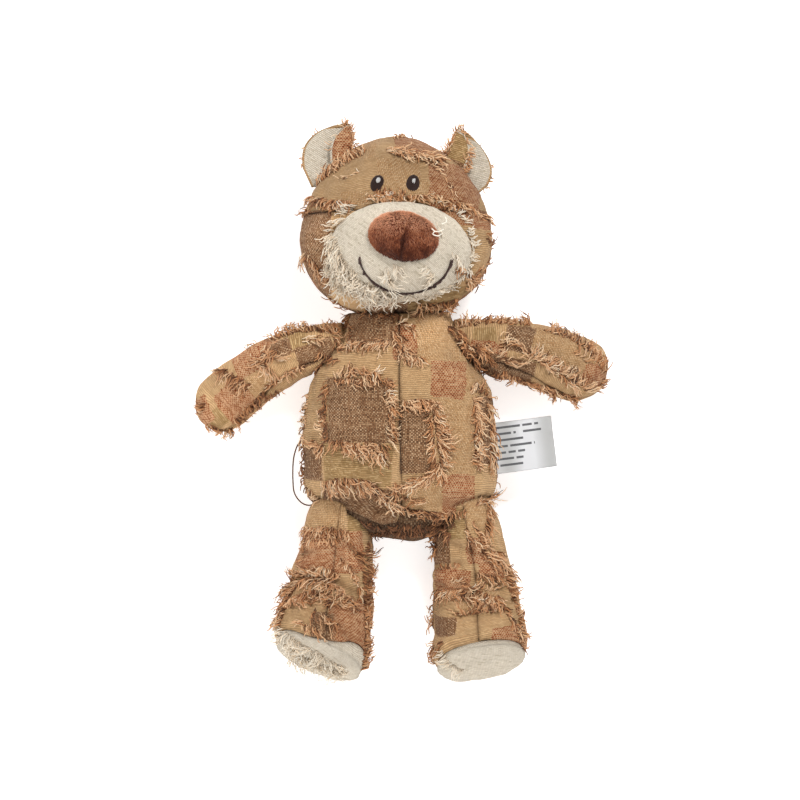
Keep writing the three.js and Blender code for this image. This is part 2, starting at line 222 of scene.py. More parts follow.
class StuffedRow:
    """Points on a row of rings. Along is in mm from the first ring, negative on the dome before it."""

    def __init__(self, rings, domes, dome_arcs, boxiness):
        self.rings = np.array(rings, float)
        self.domes, self.dome_arcs, self.boxiness = domes, dome_arcs, boxiness
        steps = np.linalg.norm(np.diff(self.rings[:, :3], axis=0), axis=1)
        self.knots = np.concatenate([[0], np.cumsum(steps)])
        self.length = self.knots[-1]
        self.end = self.length + dome_arcs[1]

    def ring(self, along):
        last = len(self.rings) - 1
        t = np.interp(along, self.knots, np.arange(last + 1))
        k = np.minimum(t.astype(int), last - 1)
        f = (t - k)[..., None]
        a, b = self.rings[np.maximum(k - 1, 0)], self.rings[k]
        c, d = self.rings[k + 1], self.rings[np.minimum(k + 2, last)]
        slope, following, rise = (c - a) / 2, (d - b) / 2, c - b
        return b + f * (slope + f * (3 * rise - 2 * slope - following + f * (slope + following - 2 * rise)))

    def __call__(self, along, angle):
        along, angle = np.broadcast_arrays(np.asarray(along, float), np.asarray(angle, float))
        ring = self.ring(along)
        heading, lean = np.radians(ring[..., 5]), np.radians(ring[..., 6])
        level = np.cos(lean)
        run = np.stack([np.cos(heading) * level, np.sin(heading) * level, np.sin(lean)], axis=-1)
        side = np.stack([-np.sin(heading), np.cos(heading), np.zeros_like(lean)], axis=-1)
        up = np.cross(run, side)
        before = np.clip(-along / self.dome_arcs[0], 0, 1)
        after = np.clip((along - self.length) / self.dome_arcs[1], 0, 1)
        size = np.cos(np.maximum(before, after) * np.pi / 2)
        dome = self.domes[1] * np.sin(after * np.pi / 2) - self.domes[0] * np.sin(before * np.pi / 2)
        points = ring[..., :3] + run * dome[..., None]
        points += side * (ring[..., 3] * size * rounded(np.cos(angle), self.boxiness))[..., None]
        points += up * (ring[..., 4] * size * rounded(np.sin(angle), self.boxiness))[..., None]
        points[..., 2] = np.maximum(points[..., 2], 0)
        return points


# %% The body, the arms and the legs
torso = StuffedRow(
    [
        [-1, 50, 36, 30, 24, -90, 0],
        [-1, 30, 36, 41, 32, -90, 0],
        [-1, 8, 37, 52, 37.5, -90, 0],
        [-0.5, -18, 37, 55, 40, -90, 0],
        [0, -44, 35, 55.5, 37.5, -90, 0],
        [0, -58, 30, 51, 29, -90, 0],
    ],
    domes=(8, 20), dome_arcs=(25, 45), boxiness=2.25,
)
arm_right = StuffedRow(
    [
        [-31, 34.5, 40, 12.5, 14, 192, -7],
        [-57, 29, 36, 14, 14.5, 200, -12],
        [-74, 21.5, 30, 15.2, 15, 208, -14],
        [-90, 11.5, 23, 16.6, 15.5, 216, -12],
        [-102, 2, 18, 17.4, 16, 222, -8],
    ],
    domes=(4, 18.5), dome_arcs=(12, 26), boxiness=2.2,
)
arm_left = StuffedRow(
    [
        [29, 34.5, 40, 14, 14.5, -4, -7],
        [52, 32, 38, 16.5, 15.5, -4, -10],
        [70, 30, 32, 18, 16, -10, -14],
        [88, 25, 25, 19.2, 16.5, -16, -13],
        [102, 20.5, 19, 18.6, 16.5, -16, -8],
    ],
    domes=(4, 19), dome_arcs=(12, 28), boxiness=2.2,
)
leg_right = StuffedRow(
    [
        [-33, -52, 36, 17, 20, -90, 0],
        [-36, -72, 30, 20, 22.5, -92, 0],
        [-38, -92, 25, 22, 23, -94, 0],
        [-40.5, -110, 24, 24.5, 23.5, -98, 6],
        [-43.5, -125, 26.5, 27.5, 25.5, -104, 16],
        [-46, -139, 29, 28.5, 27.5, -110, 26],
        [-47.5, -146, 30.5, 26.5, 26, -112, 28],
    ],
    domes=(4, 3), dome_arcs=(12, 27), boxiness=2.2,
)
leg_left = StuffedRow(
    [
        [34, -52, 36, 17, 20, -90, 0],
        [37.5, -72, 30, 19, 22.5, -89, 0],
        [41.5, -92, 25, 22.5, 23, -87, 0],
        [43.2, -110, 24, 24.7, 23.5, -85, 6],
        [44, -125, 26.5, 26, 25.5, -83, 16],
        [45.5, -141, 29, 27.5, 27.5, -81, 26],
        [46.5, -149, 30.5, 26, 26.5, -80, 28],
    ],
    domes=(4, 3), dome_arcs=(12, 27), boxiness=2.2,
)

# %% [markdown]
# The head is round about the axis of the face, and a little squarer than a ball. Its outline in plan is a
# circle with three small waves: one sets it lower, one fills the cheeks, and one makes it wider than high.

# %% The head
HEAD = {"x": -2.8, "y": 99.5, "z": 42, "front": 42, "back": 45, "boxiness": 2.25}
HEAD_OUTLINE = {"radius": 53.2, "low": 1.4, "cheeks": 2, "width": 1.2}
HEAD_ARC = 150  # from the front of the head to its back, over the outside


def head_radius(angle):
    low, cheeks = HEAD_OUTLINE["low"] * np.sin(angle), HEAD_OUTLINE["cheeks"] * np.sin(3 * angle)
    return HEAD_OUTLINE["radius"] - low - cheeks + HEAD_OUTLINE["width"] * np.cos(2 * angle)


def head(along, angle):
    """Points on the head. Along is in mm from the middle of the face, the angle is from the bear's left."""
    along, angle = np.broadcast_arrays(np.asarray(along, float), np.asarray(angle, float))
    turn = np.clip(along / HEAD_ARC, 0, 1) * np.pi
    out = rounded(np.sin(turn), HEAD["boxiness"]) * head_radius(angle)
    depth = np.where(turn < np.pi / 2, HEAD["front"], HEAD["back"])
    z = HEAD["z"] + depth * rounded(np.cos(turn), HEAD["boxiness"])
    points = [HEAD["x"] + out * np.cos(angle), HEAD["y"] + out * np.sin(angle), np.maximum(z, 0)]
    return np.stack(points, axis=-1)


# %% [markdown]
# ## Where one form meets another
# A sleeve ends where it meets the body, so each form also gets a test: below zero inside, above zero
# outside. Walking along a limb until the test changes sign gives the armhole, with no cutting of meshes.

# %% Inside tests, and the walk that finds a seam
def outside_torso(p):
    x, y, z = p[..., 0], p[..., 1], p[..., 2]
    first, last = torso.rings[0], torso.rings[-1]
    marks = np.linspace(0, torso.length, 80)
    ring = torso.ring(np.interp(-y, -torso.ring(marks)[:, 1], marks))
    above = np.clip((y - first[1]) / torso.domes[0], 0, 1)
    below = np.clip((last[1] - y) / torso.domes[1], 0, 1)
    size = np.sqrt(np.maximum(1 - np.maximum(above, below) ** 2, 1e-6))
    wide, deep = ring[..., 3] * size, ring[..., 4] * size
    across, up = np.abs(x - ring[..., 0]) / wide, np.abs(z - ring[..., 2]) / deep
    return across ** torso.boxiness + up ** torso.boxiness - 1


def outside_head(p):
    x, y, z = p[..., 0] - HEAD["x"], p[..., 1] - HEAD["y"], p[..., 2] - HEAD["z"]
    out = np.hypot(x, y) / head_radius(np.arctan2(y, x))
    depth = np.abs(z) / np.where(z > 0, HEAD["front"], HEAD["back"])
    return out ** HEAD["boxiness"] + depth ** HEAD["boxiness"] - 1


MUZZLE = {"x": -0.6, "y": 85.6, "z": 66, "wide": 40.6, "high": 29.4, "deep": 41, "roll": math.radians(-3)}


def muzzle_frame(p):
    """A point in the muzzle's own axes, as fractions of its half sizes."""
    x, y = turned(p[..., 0] - MUZZLE["x"], p[..., 1] - MUZZLE["y"], -MUZZLE["roll"])
    z = p[..., 2] - MUZZLE["z"]
    return np.stack([x / MUZZLE["wide"], y / MUZZLE["high"], z / MUZZLE["deep"]], axis=-1)


def outside_muzzle(p):
    return np.linalg.norm(muzzle_frame(p), axis=-1) - 1


def first_outside(form, angle, test, start, stop, steps=400):
    """For each angle, how far along the form first passes the test."""
    along = np.linspace(start, stop, steps)
    value = test(form(along[:, None], np.asarray(angle)[None, :]))
    hit = np.argmax(value > 0, axis=0)
    low, high = np.maximum(hit - 1, 0), np.maximum(hit, 1)
    columns = np.arange(value.shape[1])
    v0, v1 = value[low, columns], value[high, columns]
    share = np.clip(-v0 / np.where(np.abs(v1 - v0) < 1e-9, 1, v1 - v0), 0, 1)
    return along[low] + share * (along[high] - along[low])


print("arm lengths", round(arm_right.length, 1), round(arm_left.length, 1), "mm to the last ring")

# %% [markdown]
# ## Cutting the panels
# A panel is the part of a form between two lines along it and two lines round it. We lay rows and columns
# of points in it, closer together near its edges, where the seam pulls the cloth in. Each point also gets
# its place on the flat cloth, in mm, because the yarns have to run straight in the cloth and not in the
# room.

# %% Panel grids
GRAIN = 1.6  # between rows and columns away from the seams
SEAM_STEPS = (0.5, 1.1, 1.9, 3.0)  # from the seam to the first few rows
NO_SEAM = 60.0  # stands for a distance to a seam that is far away


def spread(length):
    """Shares from 0 to 1 of a length in mm, closer together near both ends."""
    near = np.array((0,) + SEAM_STEPS)
    far = np.linspace(near[-1], length - near[-1], max(int((length - 2 * near[-1]) / GRAIN), 3))
    return np.concatenate([near[:-1], far, length - near[-2::-1]]) / length


def at(line, value):
    return line(value) if callable(line) else np.full(np.shape(value), float(line))


# %% Cut a panel between four lines
def cut_panel(form, begin, finish, low_angle, high_angle, size, seams, middle_share=0.5):
    """A grid on a form. Begin and finish are functions of the angle that give how far along the form is."""
    f, g = spread(size[0]), spread(size[1])
    angle_at_begin, angle_at_finish = np.zeros(len(g)), np.zeros(len(g))
    for _ in range(2):
        start = begin(at(low_angle, angle_at_begin) * (1 - g) + at(high_angle, angle_at_begin) * g)
        stop = finish(at(low_angle, angle_at_finish) * (1 - g) + at(high_angle, angle_at_finish) * g)
        angle_at_begin, angle_at_finish = start, stop
    along = start[None] + f[:, None] * (stop - start)[None]
    angle = at(low_angle, along) * (1 - g) + at(high_angle, along) * g
    points = form(along, angle)
    across = np.linalg.norm(np.diff(points, axis=1), axis=-1)
    across = np.concatenate([np.zeros((len(f), 1)), np.cumsum(across, axis=1)], axis=1)
    middle_column = int(middle_share * (len(g) - 1))
    cloth = np.stack([across - across[:, middle_column:middle_column + 1], along, 0 * along], axis=-1)
    return {"points": points, "cloth": cloth, "seam": seam_distance(points, seams), "wrap": False}


def seam_distance(points, seams):
    """Distance in mm over the cloth to the nearest of the named edges of a grid."""
    down = np.linalg.norm(np.diff(points, axis=0), axis=-1)
    down = np.concatenate([np.zeros((1, points.shape[1])), np.cumsum(down, axis=0)])
    across = np.linalg.norm(np.diff(points, axis=1), axis=-1)
    across = np.concatenate([np.zeros((points.shape[0], 1)), np.cumsum(across, axis=1)], axis=1)
    distances = {"start": down, "end": down[-1:] - down, "low": across, "high": across[:, -1:] - across}
    return np.minimum.reduce([np.full(points.shape[:2], NO_SEAM)] + [distances[s] for s in seams.split()])


# %% Cut a round panel
def cut_cap(form, begin, end, columns, size, cloth_from):
    """A round panel from a closed line to a pole. Begin gives how far along each angle starts."""
    near = np.array((0,) + SEAM_STEPS)
    f = np.concatenate([near[:-1], np.linspace(near[-1], size, max(int(size / GRAIN), 3))]) / size
    angle = np.linspace(0, 2 * np.pi, columns, endpoint=False)
    start = begin(angle)
    along = start[None] + f[:, None] * (end - start)[None]
    points = form(along, np.broadcast_to(angle, along.shape))
    points[-1] = points[-1].mean(axis=0)
    cloth = np.concatenate([cloth_from(points, along, angle[None]), 0 * along[..., None]], axis=-1)
    return {"points": points, "cloth": cloth, "seam": seam_distance(points, "start"), "wrap": True}


# %% [markdown]
# ## Lumps, puckers and creases
# Fibre filling is never even, so the cloth over it has low lumps. A cloth simulation could find them, but
# the seams, blocks and fringes have to stay where they are, so the points are moved along their normals
# instead. Sums of a few waves with seeded random directions give the lumps, and the same at a short
# wavelength gives the puckers that die away from a seam. The seam itself is a groove: the cloth dives into
# it over a few millimetres.

# %% Waves and distances
def waves(points, wavelength, seed, count=7):
    """A smooth random height between about -1 and 1, made of plane waves."""
    rng = np.random.default_rng(seed)
    total = np.zeros(points.shape[:-1])
    for _ in range(count):
        direction = unit(rng.normal(size=3))
        pace = 2 * np.pi / (wavelength * rng.uniform(0.7, 1.5))
        total += np.sin(points @ direction * pace + rng.uniform(0, 2 * np.pi))
    return total / math.sqrt(count)


def distance_to_line(xy, line):
    """Distance in plan from points to a line of straight pieces."""
    best = np.full(xy.shape[:-1], 1e9)
    for a, b in zip(np.array(line[:-1], float), np.array(line[1:], float)):
        share = np.clip(((xy - a) @ (b - a)) / max((b - a) @ (b - a), 1e-9), 0, 1)
        best = np.minimum(best, np.linalg.norm(xy - a - share[..., None] * (b - a), axis=-1))
    return best


# %% [markdown]
# The bear has been carried about, so the cloth folds at the ankles, the knees and the armpits. Each fold is
# a line in plan with a depth and a half width: a valley with a low ridge beside it.

# %% Creases
CREASES = [  # lines in plan in mm, then depth and half width
    ([(21, -94), (34, -92)], 2.4, 2.2),
    ([(44, -99), (58, -106)], 2.6, 2.2),
    ([(22, -104), (34, -109), (46, -108), (60, -114)], 1.6, 2.5),
    ([(30, -119), (45, -121), (57, -117)], 1.8, 1.8),
    ([(26, -80), (36, -84), (46, -82)], 1.6, 2.0),
    ([(-56, -86), (-44, -84), (-30, -90)], 1.6, 2.0),
    ([(64, -112), (72, -116)], 2.0, 2.0),
    ([(32, -119), (35, -127), (38, -134), (50, -133)], 1.8, 1.2),
    ([(37, -72), (40, -80), (39, -90)], 1.2, 1.4),
    ([(-64, -104), (-54, -98), (-42, -99), (-30, -106), (-22, -113)], 2.6, 2.4),
    ([(-52, -112), (-47, -128), (-44, -136)], 2.2, 2.0),
    ([(-36, -116), (-30, -128), (-27, -140)], 1.4, 2.0),
    ([(-28, -82), (-20, -90)], 1.8, 1.8),
    ([(-36, -56), (-37, -64)], 1.2, 1.0),
    ([(-50, 34), (-42, 22)], 1.4, 1.8),
    ([(56, 38), (58, 22)], 1.6, 2.0),
    ([(34, 46), (40, 24)], 1.4, 2.0),
]


def crease_relief(away, width):
    """Height over a crease: a valley on its line and a low ridge beside it."""
    ridge = np.exp(-(((away - 2.6 * width) / width) ** 2))
    return 0.35 * ridge - np.exp(-((away / width) ** 2))


# %% Relief of the stuffed cloth
LUMP_LENGTH, DENT_LENGTH, PUCKER_LENGTH = 26, 10, 6
DENT, PUCKER = 0.35, 0.4  # their heights in mm
STITCH_DEPTH, SEAM_DIP = 1.2, 0.7  # a narrow groove in a wider dip
CLEAR = 0.05  # the least height over the surface that the bear lies on


def relieve(grid, seed, lump, creases):
    """Moves a panel's points along its normals, and keeps those normals."""
    points, seam = grid["points"], grid["seam"]
    if grid["wrap"]:
        ringed = np.concatenate([points[:, -2:], points, points[:, :2]], axis=1)
        normals = grid_normals(ringed)[:, 2:-2]
    else:
        normals = grid_normals(points)
    grid["turned"] = np.sum(normals * (points - points.mean(axis=(0, 1)))) < 0  # faces run the other way
    if grid["turned"]:
        normals = -normals
    free = 1 - np.exp(-seam / 4)
    relief = -STITCH_DEPTH * np.exp(-seam / 0.7) - SEAM_DIP * np.exp(-seam / 3.5)
    relief += free * (lump * waves(points, LUMP_LENGTH, seed) + DENT * waves(points, DENT_LENGTH, seed + 1))
    beside_seam = np.exp(-seam / 5) * (1 - np.exp(-seam / 1.5))
    relief += PUCKER * beside_seam * waves(points, PUCKER_LENGTH, seed + 2)
    if creases:
        facing = np.clip(normals[..., 2] * 3, 0, 1)
        for line, depth, width in CREASES:
            relief += facing * depth * crease_relief(distance_to_line(points[..., :2], line), width)
    moved = points + normals * relief[..., None]
    moved[..., 2] = np.maximum(moved[..., 2], CLEAR)
    grid["points"], grid["normals"] = moved, normals


# %% [markdown]
# ## Blocks of colour
# The jacquard cloth is tan with blocks where another weave comes to the face: dark, rust, olive and amber.
# On the covers seen from in front they are placed in plan, as centre, size and turn. On the others they are
# dealt out by seeded draws on the flat cloth. An image could hold them too, but a signed distance for each
# kind needs no file, and lets the shader draw a crisp edge that is one yarn wide.

# %% Signed distances to blocks
KINDS = ("dark", "rust", "olive", "amber")
OUTSIDE = -30.0  # stands for a distance far outside every block


def block(x0, x1, y0, y1, turn=0):
    return ((x0 + x1) / 2, (y0 + y1) / 2, abs(x1 - x0), abs(y1 - y0), turn)


def inside_blocks(flat, blocks):
    """How far inside the nearest of the blocks each point is, in mm. Outside is negative."""
    best = np.full(flat.shape[:-1], OUTSIDE)
    for x, y, wide, high, turn in blocks:
        across, up = turned(flat[..., 0] - x, flat[..., 1] - y, -math.radians(turn))
        best = np.maximum(best, np.minimum(wide / 2 - np.abs(across), high / 2 - np.abs(up)))
    return best


# %% Blocks dealt out by seeded draws
CELL_WIDTH, CELL_HEIGHT = 22, 17
KIND_ODDS = {"dark": 0.22, "rust": 0.24, "olive": 0.08, "amber": 0.12, "tan": 0.34}


def dealt_blocks(grid, seed):
    """Blocks of random kinds over a panel's flat cloth."""
    rng = np.random.default_rng(seed)
    low = grid["cloth"].reshape(-1, 3).min(axis=0)
    high = grid["cloth"].reshape(-1, 3).max(axis=0)
    blocks = {kind: [] for kind in KINDS}
    for x in np.arange(low[0], high[0] + CELL_WIDTH, CELL_WIDTH):
        y = low[1] - rng.uniform(0, CELL_HEIGHT)
        while y < high[1]:
            tall = CELL_HEIGHT * rng.uniform(0.7, 1.5)
            kind = rng.choice(list(KIND_ODDS), p=list(KIND_ODDS.values()))
            if kind != "tan":
                blocks[kind].append(block(x, x + CELL_WIDTH, y, y + tall))
            y += tall
    return blocks


# %% Blocks placed in plan
PLAN_BLOCKS = {
    "torso": {
        "dark": [block(-30, -4, 32, 52), block(-41, -5, -22, 14), block(-58, -44, -43, -25),
                 block(-1, 17, -39, -1), block(42, 58, -34, 4), block(-44, -2, -74, -48)],
        "rust": [block(17, 37, 3, 24, -4), block(23, 41, -66, -40), block(-4, 8, 25, 45)],
        "olive": [block(-43, -5, -47, -23)],
        "amber": [block(8, 34, 24, 50), block(18, 42, -41, 3), block(2, 23, -66, -45), block(37, 60, 4, 30)],
    },
    # the base between the legs is painted dark all over: painted shade where the legs close over it
    "torso_base": {"dark": [block(-80, 80, -110, -20)], "rust": [], "olive": [], "amber": []},
    "head": {
        "dark": [(-52, 84, 26, 46, 0), block(-20, 4, 48, 60)],
        "rust": [block(-4, 30, 139, 156), block(16, 44, 108, 134), block(-64, -44, 98, 108),
                 block(12, 60, 98, 108)],
        "olive": [block(4, 40, 46, 66)],
        "amber": [block(-13, 11, 124, 136), block(-62, -13, 136, 160), block(-16, 16, 100, 124),
                  block(30, 60, 128, 150), block(-34, -4, 108, 118)],
    },
    "arm_right": {
        "dark": [(-49, 29, 22, 12, 20), (-68, 31, 11, 9, 22)],
        "rust": [(-82, 27, 30, 14, 27), (-114, -4, 9, 16, 30), (-95, 2, 20, 20, 38)],
        "olive": [(-107, -10, 14, 11, 38), (-60, 37, 14, 12, 15)],
        "amber": [(-82, 12, 20, 12, 35)],
    },
    "arm_left": {
        "dark": [(67, 37, 17, 15, -12), (54, 21, 44, 15, -14)],
        "rust": [(112, 16, 16, 12, -20), (50, 30, 22, 9, -12)],
        "olive": [(47, 38, 12, 10, 0)],
        "amber": [(92, 31, 46, 20, -17)],
    },
    "leg_right": {
        "dark": [block(-51, -38, -133, -118)],
        "rust": [block(-60, -21, -96, -72), block(-41, -14, -158, -112)],
        "olive": [block(-30, -12, -72, -58)],
        "amber": [block(-62, -40, -110, -99), block(-62, -32, -72, -50)],
    },
    "leg_left": {
        "dark": [block(20, 31, -132, -121), block(16, 28, -92, -76)],
        "rust": [block(38, 49, -91, -76), block(20, 40, -111, -94), block(44, 60, -99, -88),
                 block(52, 75, -150, -126)],
        "olive": [block(20, 36, -76, -60)],
        "amber": [block(35, 54, -72, -50), block(30, 56, -117, -106)],
    },
}


# %% Paint a panel with its blocks
BLOCK_WOBBLE, WOBBLE_LENGTH = 0.7, 17  # how far an edge strays in mm, and over what length


def paint(grid, seed, blocks=None):
    """Adds the signed distances of every kind of block to a panel, from the plan or dealt out."""
    flat = grid["points"][..., :2]
    if blocks is None:
        flat = grid["cloth"][..., :2]
        blocks = dealt_blocks(grid, seed)
    wobble = np.stack([waves(grid["points"], WOBBLE_LENGTH, seed + k) for k in (5, 6)], axis=-1)
    for kind in KINDS:
        grid[kind] = inside_blocks(flat + BLOCK_WOBBLE * wobble, blocks[kind])


# %% [markdown]
# ## Where the seams run
# A stuffed bear is sewn from few panels. The body has two in front, two behind and one between the legs.
# Arms and legs have two each, and feet end in a cream sole. We walk along each form to find where its
# panels begin and end: the body begins under the head, and the limbs begin where they leave the body.

# %% Body panels
def radians(*degrees):
    return [math.radians(d) for d in degrees]


SIDE_SEAM_LEFT, FRONT_SEAM, SIDE_SEAM_RIGHT, BACK_SEAM, ROUND = radians(4, 90, 176, 270, 364)
BASE_SEAM_Y = -60
HEM = np.array([  # the lower edge of the front, in plan
    [-70, -55], [-42, -55], [-34, -59], [-23, -64], [-10, -70], [-2, -68],
    [0, -60], [14, -61], [27, -65], [37, -61], [55, -53], [70, -50],
])


def above_hem(p):
    return np.interp(p[..., 0], HEM[:, 0], HEM[:, 1]) - p[..., 1]


def neck_line(angle):
    return first_outside(torso, angle, outside_head, -torso.dome_arcs[0], 60)


def front_hem(angle):
    return first_outside(torso, angle, above_hem, 60, torso.end)


def back_hem(angle):
    return first_outside(torso, angle, lambda p: BASE_SEAM_Y - p[..., 1], 60, torso.end)


def base_line(angle):
    turn = np.mod(angle, 2 * np.pi)
    return np.where(turn < np.pi, front_hem(angle), back_hem(angle))


panels = {}
edges, open_end = "start end low high", "start low high"  # the sides of a panel that are sewn
TORSO_SIZE = (118, 75)  # length and width in mm, which set how many rows and columns a panel gets
torso_panels = {  # the lower line, the two seams, and the seam that the flat cloth is measured from
    "front_left": (front_hem, FRONT_SEAM, SIDE_SEAM_LEFT, 0),
    "front_right": (front_hem, SIDE_SEAM_RIGHT, FRONT_SEAM, 1),
    "back_right": (back_hem, BACK_SEAM, SIDE_SEAM_RIGHT, 0),
    "back_left": (back_hem, ROUND, BACK_SEAM, 1),
}
for part, (lower_line, low_seam, high_seam, middle) in torso_panels.items():
    panels[f"torso_{part}"] = cut_panel(
        torso, neck_line, lower_line, low_seam, high_seam, TORSO_SIZE, edges, middle)

TUCK = 3  # the belly hangs over the hem, so the cloth between the legs lies this much deeper, in mm
base = cut_cap(torso, base_line, torso.end, 150, 40, lambda p, along, angle: p[..., [0, 2]])
under_belly = np.clip((base["points"][..., 2] - 38) / 12, 0, 1)
base["points"][..., 2] -= TUCK * (1 - np.exp(-base["seam"] / 2.2)) * under_belly
panels["torso_base"] = base
print({name: grid["points"].shape[:2] for name, grid in panels.items()})

# %% [markdown]
# ## Cutting the limbs
# Each arm is two panels, front and back, sewn along two seams that wind round it, so the angle of a seam is
# a function of how far along the arm it is. Each leg is an inner and an outer panel with a round sole. The
# right sole has slipped in wear: its edge has moved up on one side and down in the middle.

# %% Where the limbs begin and end
SOLE_SEAM = 0.97  # how far along the leg's rings the sole starts, as a share
SLIP_UP, SLIP_DOWN = 3.0, 6.0  # how far a slipped sole's edge has moved, in mm


def armhole(form):
    return lambda angle: first_outside(form, angle, outside_torso, -form.dome_arcs[0], form.length)


def outside_hips(p):
    """The body as the legs meet it: in front they come from under the hem, behind from its end."""
    under_hem = (above_hem(p) - 1.5) / 10 - np.maximum(40 - p[..., 2], 0) / 12
    return np.maximum(outside_torso(p), under_hem)


def hip(form):
    return lambda angle: first_outside(form, angle, outside_hips, 0, form.length)


def tip(form):
    return lambda angle: np.full(np.shape(angle), form.end)


def sole_edge(form, slip):
    """Where a sole starts. A sole that has slipped has its edge up on the inside and down in the middle."""
    def edge(angle):
        turn = np.mod(angle, 2 * np.pi)
        up = SLIP_UP * np.exp(-(((turn - 1.9) / 0.4) ** 2))
        down = SLIP_DOWN * np.exp(-(((turn - 0.7) / 0.5) ** 2))
        return form.length * SOLE_SEAM + slip * (up - down)
    return edge


def flat_sole(form):
    """The flat cloth of a sole: polar about its middle."""
    def flat(p, along, angle):
        around = np.stack([np.cos(angle) + 0 * along, np.sin(angle) + 0 * along], axis=-1)
        return (form.end - along)[..., None] * around
    return flat


def winding(form, *stops):
    """A seam's angle from stops, each a share of the way along the form and an angle in degrees."""
    places, degrees = zip(*stops)
    return lambda along: np.radians(np.interp(along / form.length, places, degrees))


def shifted(seam, turns):
    """The same seam, with whole turns added to its angle."""
    return lambda along: seam(along) + turns * 2 * np.pi


# %% Arm panels
ARM_FRONT_SIZE, ARM_BACK_SIZE = (105, 52), (105, 48)
arm_seams = {  # angle of the seam that shows, and of the one on the far side
    "right": (arm_right, ((0, 68), (0.35, 56), (0.7, 40), (1, 24)), ((0, 215), (1, 205))),
    "left": (arm_left, ((0, 105), (0.35, 124), (0.7, 141), (1, 160)), ((0, -35), (1, -25))),
}
for side, (form, near_stops, far_stops) in arm_seams.items():
    near, far = winding(form, *near_stops), winding(form, *far_stops)
    front = (far, near) if side == "left" else (near, far)
    back = (near, shifted(far, 1)) if side == "left" else (shifted(far, -1), near)
    for part, seams, size in (("front", front, ARM_FRONT_SIZE), ("back", back, ARM_BACK_SIZE)):
        panels[f"arm_{side}_{part}"] = cut_panel(form, armhole(form), tip(form), *seams, size, open_end)

# %% Leg panels and soles
LEG_SIZE = (100, 68)
LEG_SEAM_FRONT, LEG_SEAM_BACK = radians(90, 270)
for side, form in (("right", leg_right), ("left", leg_left)):
    ankle = sole_edge(form, slip=1 if side == "right" else 0)
    halves = {"left": (LEG_SEAM_BACK - 2 * np.pi, LEG_SEAM_FRONT), "right": (LEG_SEAM_FRONT, LEG_SEAM_BACK)}
    for half, angles in halves.items():
        name = "outer" if half == side else "inner"
        panels[f"leg_{side}_{name}"] = cut_panel(form, hip(form), ankle, *angles, LEG_SIZE, edges)
    panels[f"sole_{side}"] = cut_cap(form, ankle, form.end, 110, 28, flat_sole(form))
print({name: grid["points"].shape[:2] for name, grid in panels.items() if "torso" not in name})

# %% [markdown]
# ## The head and the muzzle
# The head is sewn from five panels: a forehead, two cheeks that meet under the chin, and two at the back. A
# cream muzzle, nearly an egg on its side, sits on the face. The brow seam is a straight line across the
# face, so in the head's round coordinates its angle changes on the way out, and it needs a small formula.
# The cloth of the head is flat when seen from in front, so that the yarns of its five panels line up across
# the seams.

# %% Head panels
CROWN_SEAM_Z, BROW_SEAM_Y = 46, 107
crown_turn = math.acos(((CROWN_SEAM_Z - HEAD["z"]) / HEAD["front"]) ** (HEAD["boxiness"] / 2))
CROWN_ALONG = HEAD_ARC * crown_turn / math.pi


def brow(along):
    """Angle of the brow seam on the bear's left, this far out from the middle of the face."""
    turn = np.clip(np.asarray(along) / HEAD_ARC, 0.05, 1) * np.pi
    out = rounded(np.sin(turn), HEAD["boxiness"]) * head_radius(0.15)
    return np.arcsin(np.clip((BROW_SEAM_Y - HEAD["y"]) / out, -1, 1))


def face_line(angle):
    return first_outside(head, angle, outside_muzzle, 2, CROWN_ALONG)


def crown_line(angle):
    return np.full(np.shape(angle), CROWN_ALONG)


def nape(angle):
    return np.full(np.shape(angle), HEAD_ARC - 0.01)


def other_brow(along):
    return np.pi - brow(along)


FOREHEAD_SIZE, CHEEK_SIZE, BACK_SIZE = (48, 130), (45, 88), (90, 120)
CHIN_LEFT, CHIN_RIGHT = radians(-90, 270)
panels["head_forehead"] = cut_panel(head, face_line, crown_line, brow, other_brow, FOREHEAD_SIZE, edges)
panels["head_cheek_left"] = cut_panel(head, face_line, crown_line, CHIN_LEFT, brow, CHEEK_SIZE, edges)
panels["head_cheek_right"] = cut_panel(head, face_line, crown_line, other_brow, CHIN_RIGHT, CHEEK_SIZE, edges)
for side, angles in (("left", radians(-90, 90)), ("right", radians(90, 270))):
    panels[f"head_back_{side}"] = cut_panel(head, crown_line, nape, *angles, BACK_SIZE, open_end)
for name, grid in panels.items():
    if name.startswith("head"):
        x, y = grid["points"][..., 0] - HEAD["x"], grid["points"][..., 1] - HEAD["y"]
        angle = np.arctan2(y, x)
        fold = -1 if "back" in name else 1
        out = np.abs(grid["cloth"][..., 1] - (HEAD_ARC if "back" in name else 0))
        grid["cloth"] = np.stack([fold * out * np.cos(angle), out * np.sin(angle), 0 * out], axis=-1)

# %% The muzzle cover
MUZZLE_ARC = 70  # over the muzzle from its front to its widest line


def muzzle(along, angle):
    """Points on the muzzle. Along is in mm from its front, the angle is from the bear's left."""
    along, angle = np.broadcast_arrays(np.asarray(along, float), np.asarray(angle, float))
    turn = along / MUZZLE_ARC * np.pi / 2
    x, y = MUZZLE["wide"] * np.sin(turn) * np.cos(angle), MUZZLE["high"] * np.sin(turn) * np.sin(angle)
    x, y = turned(x, y, MUZZLE["roll"])
    z = MUZZLE["z"] + MUZZLE["deep"] * np.cos(turn)
    return np.stack([MUZZLE["x"] + x, MUZZLE["y"] + y, z], axis=-1)


def muzzle_edge(angle):
    return first_outside(muzzle, angle, lambda p: -outside_head(p), 5, MUZZLE_ARC * 1.3)


panels["muzzle"] = cut_cap(
    muzzle, muzzle_edge, 0.0, 170, 60,
    lambda p, along, angle: p[..., :2] + (p[..., :2] - [MUZZLE["x"], MUZZLE["y"]]) * 0.25,
)
print("head and muzzle panels", [name for name in panels if name.startswith(("head", "muzzle"))])
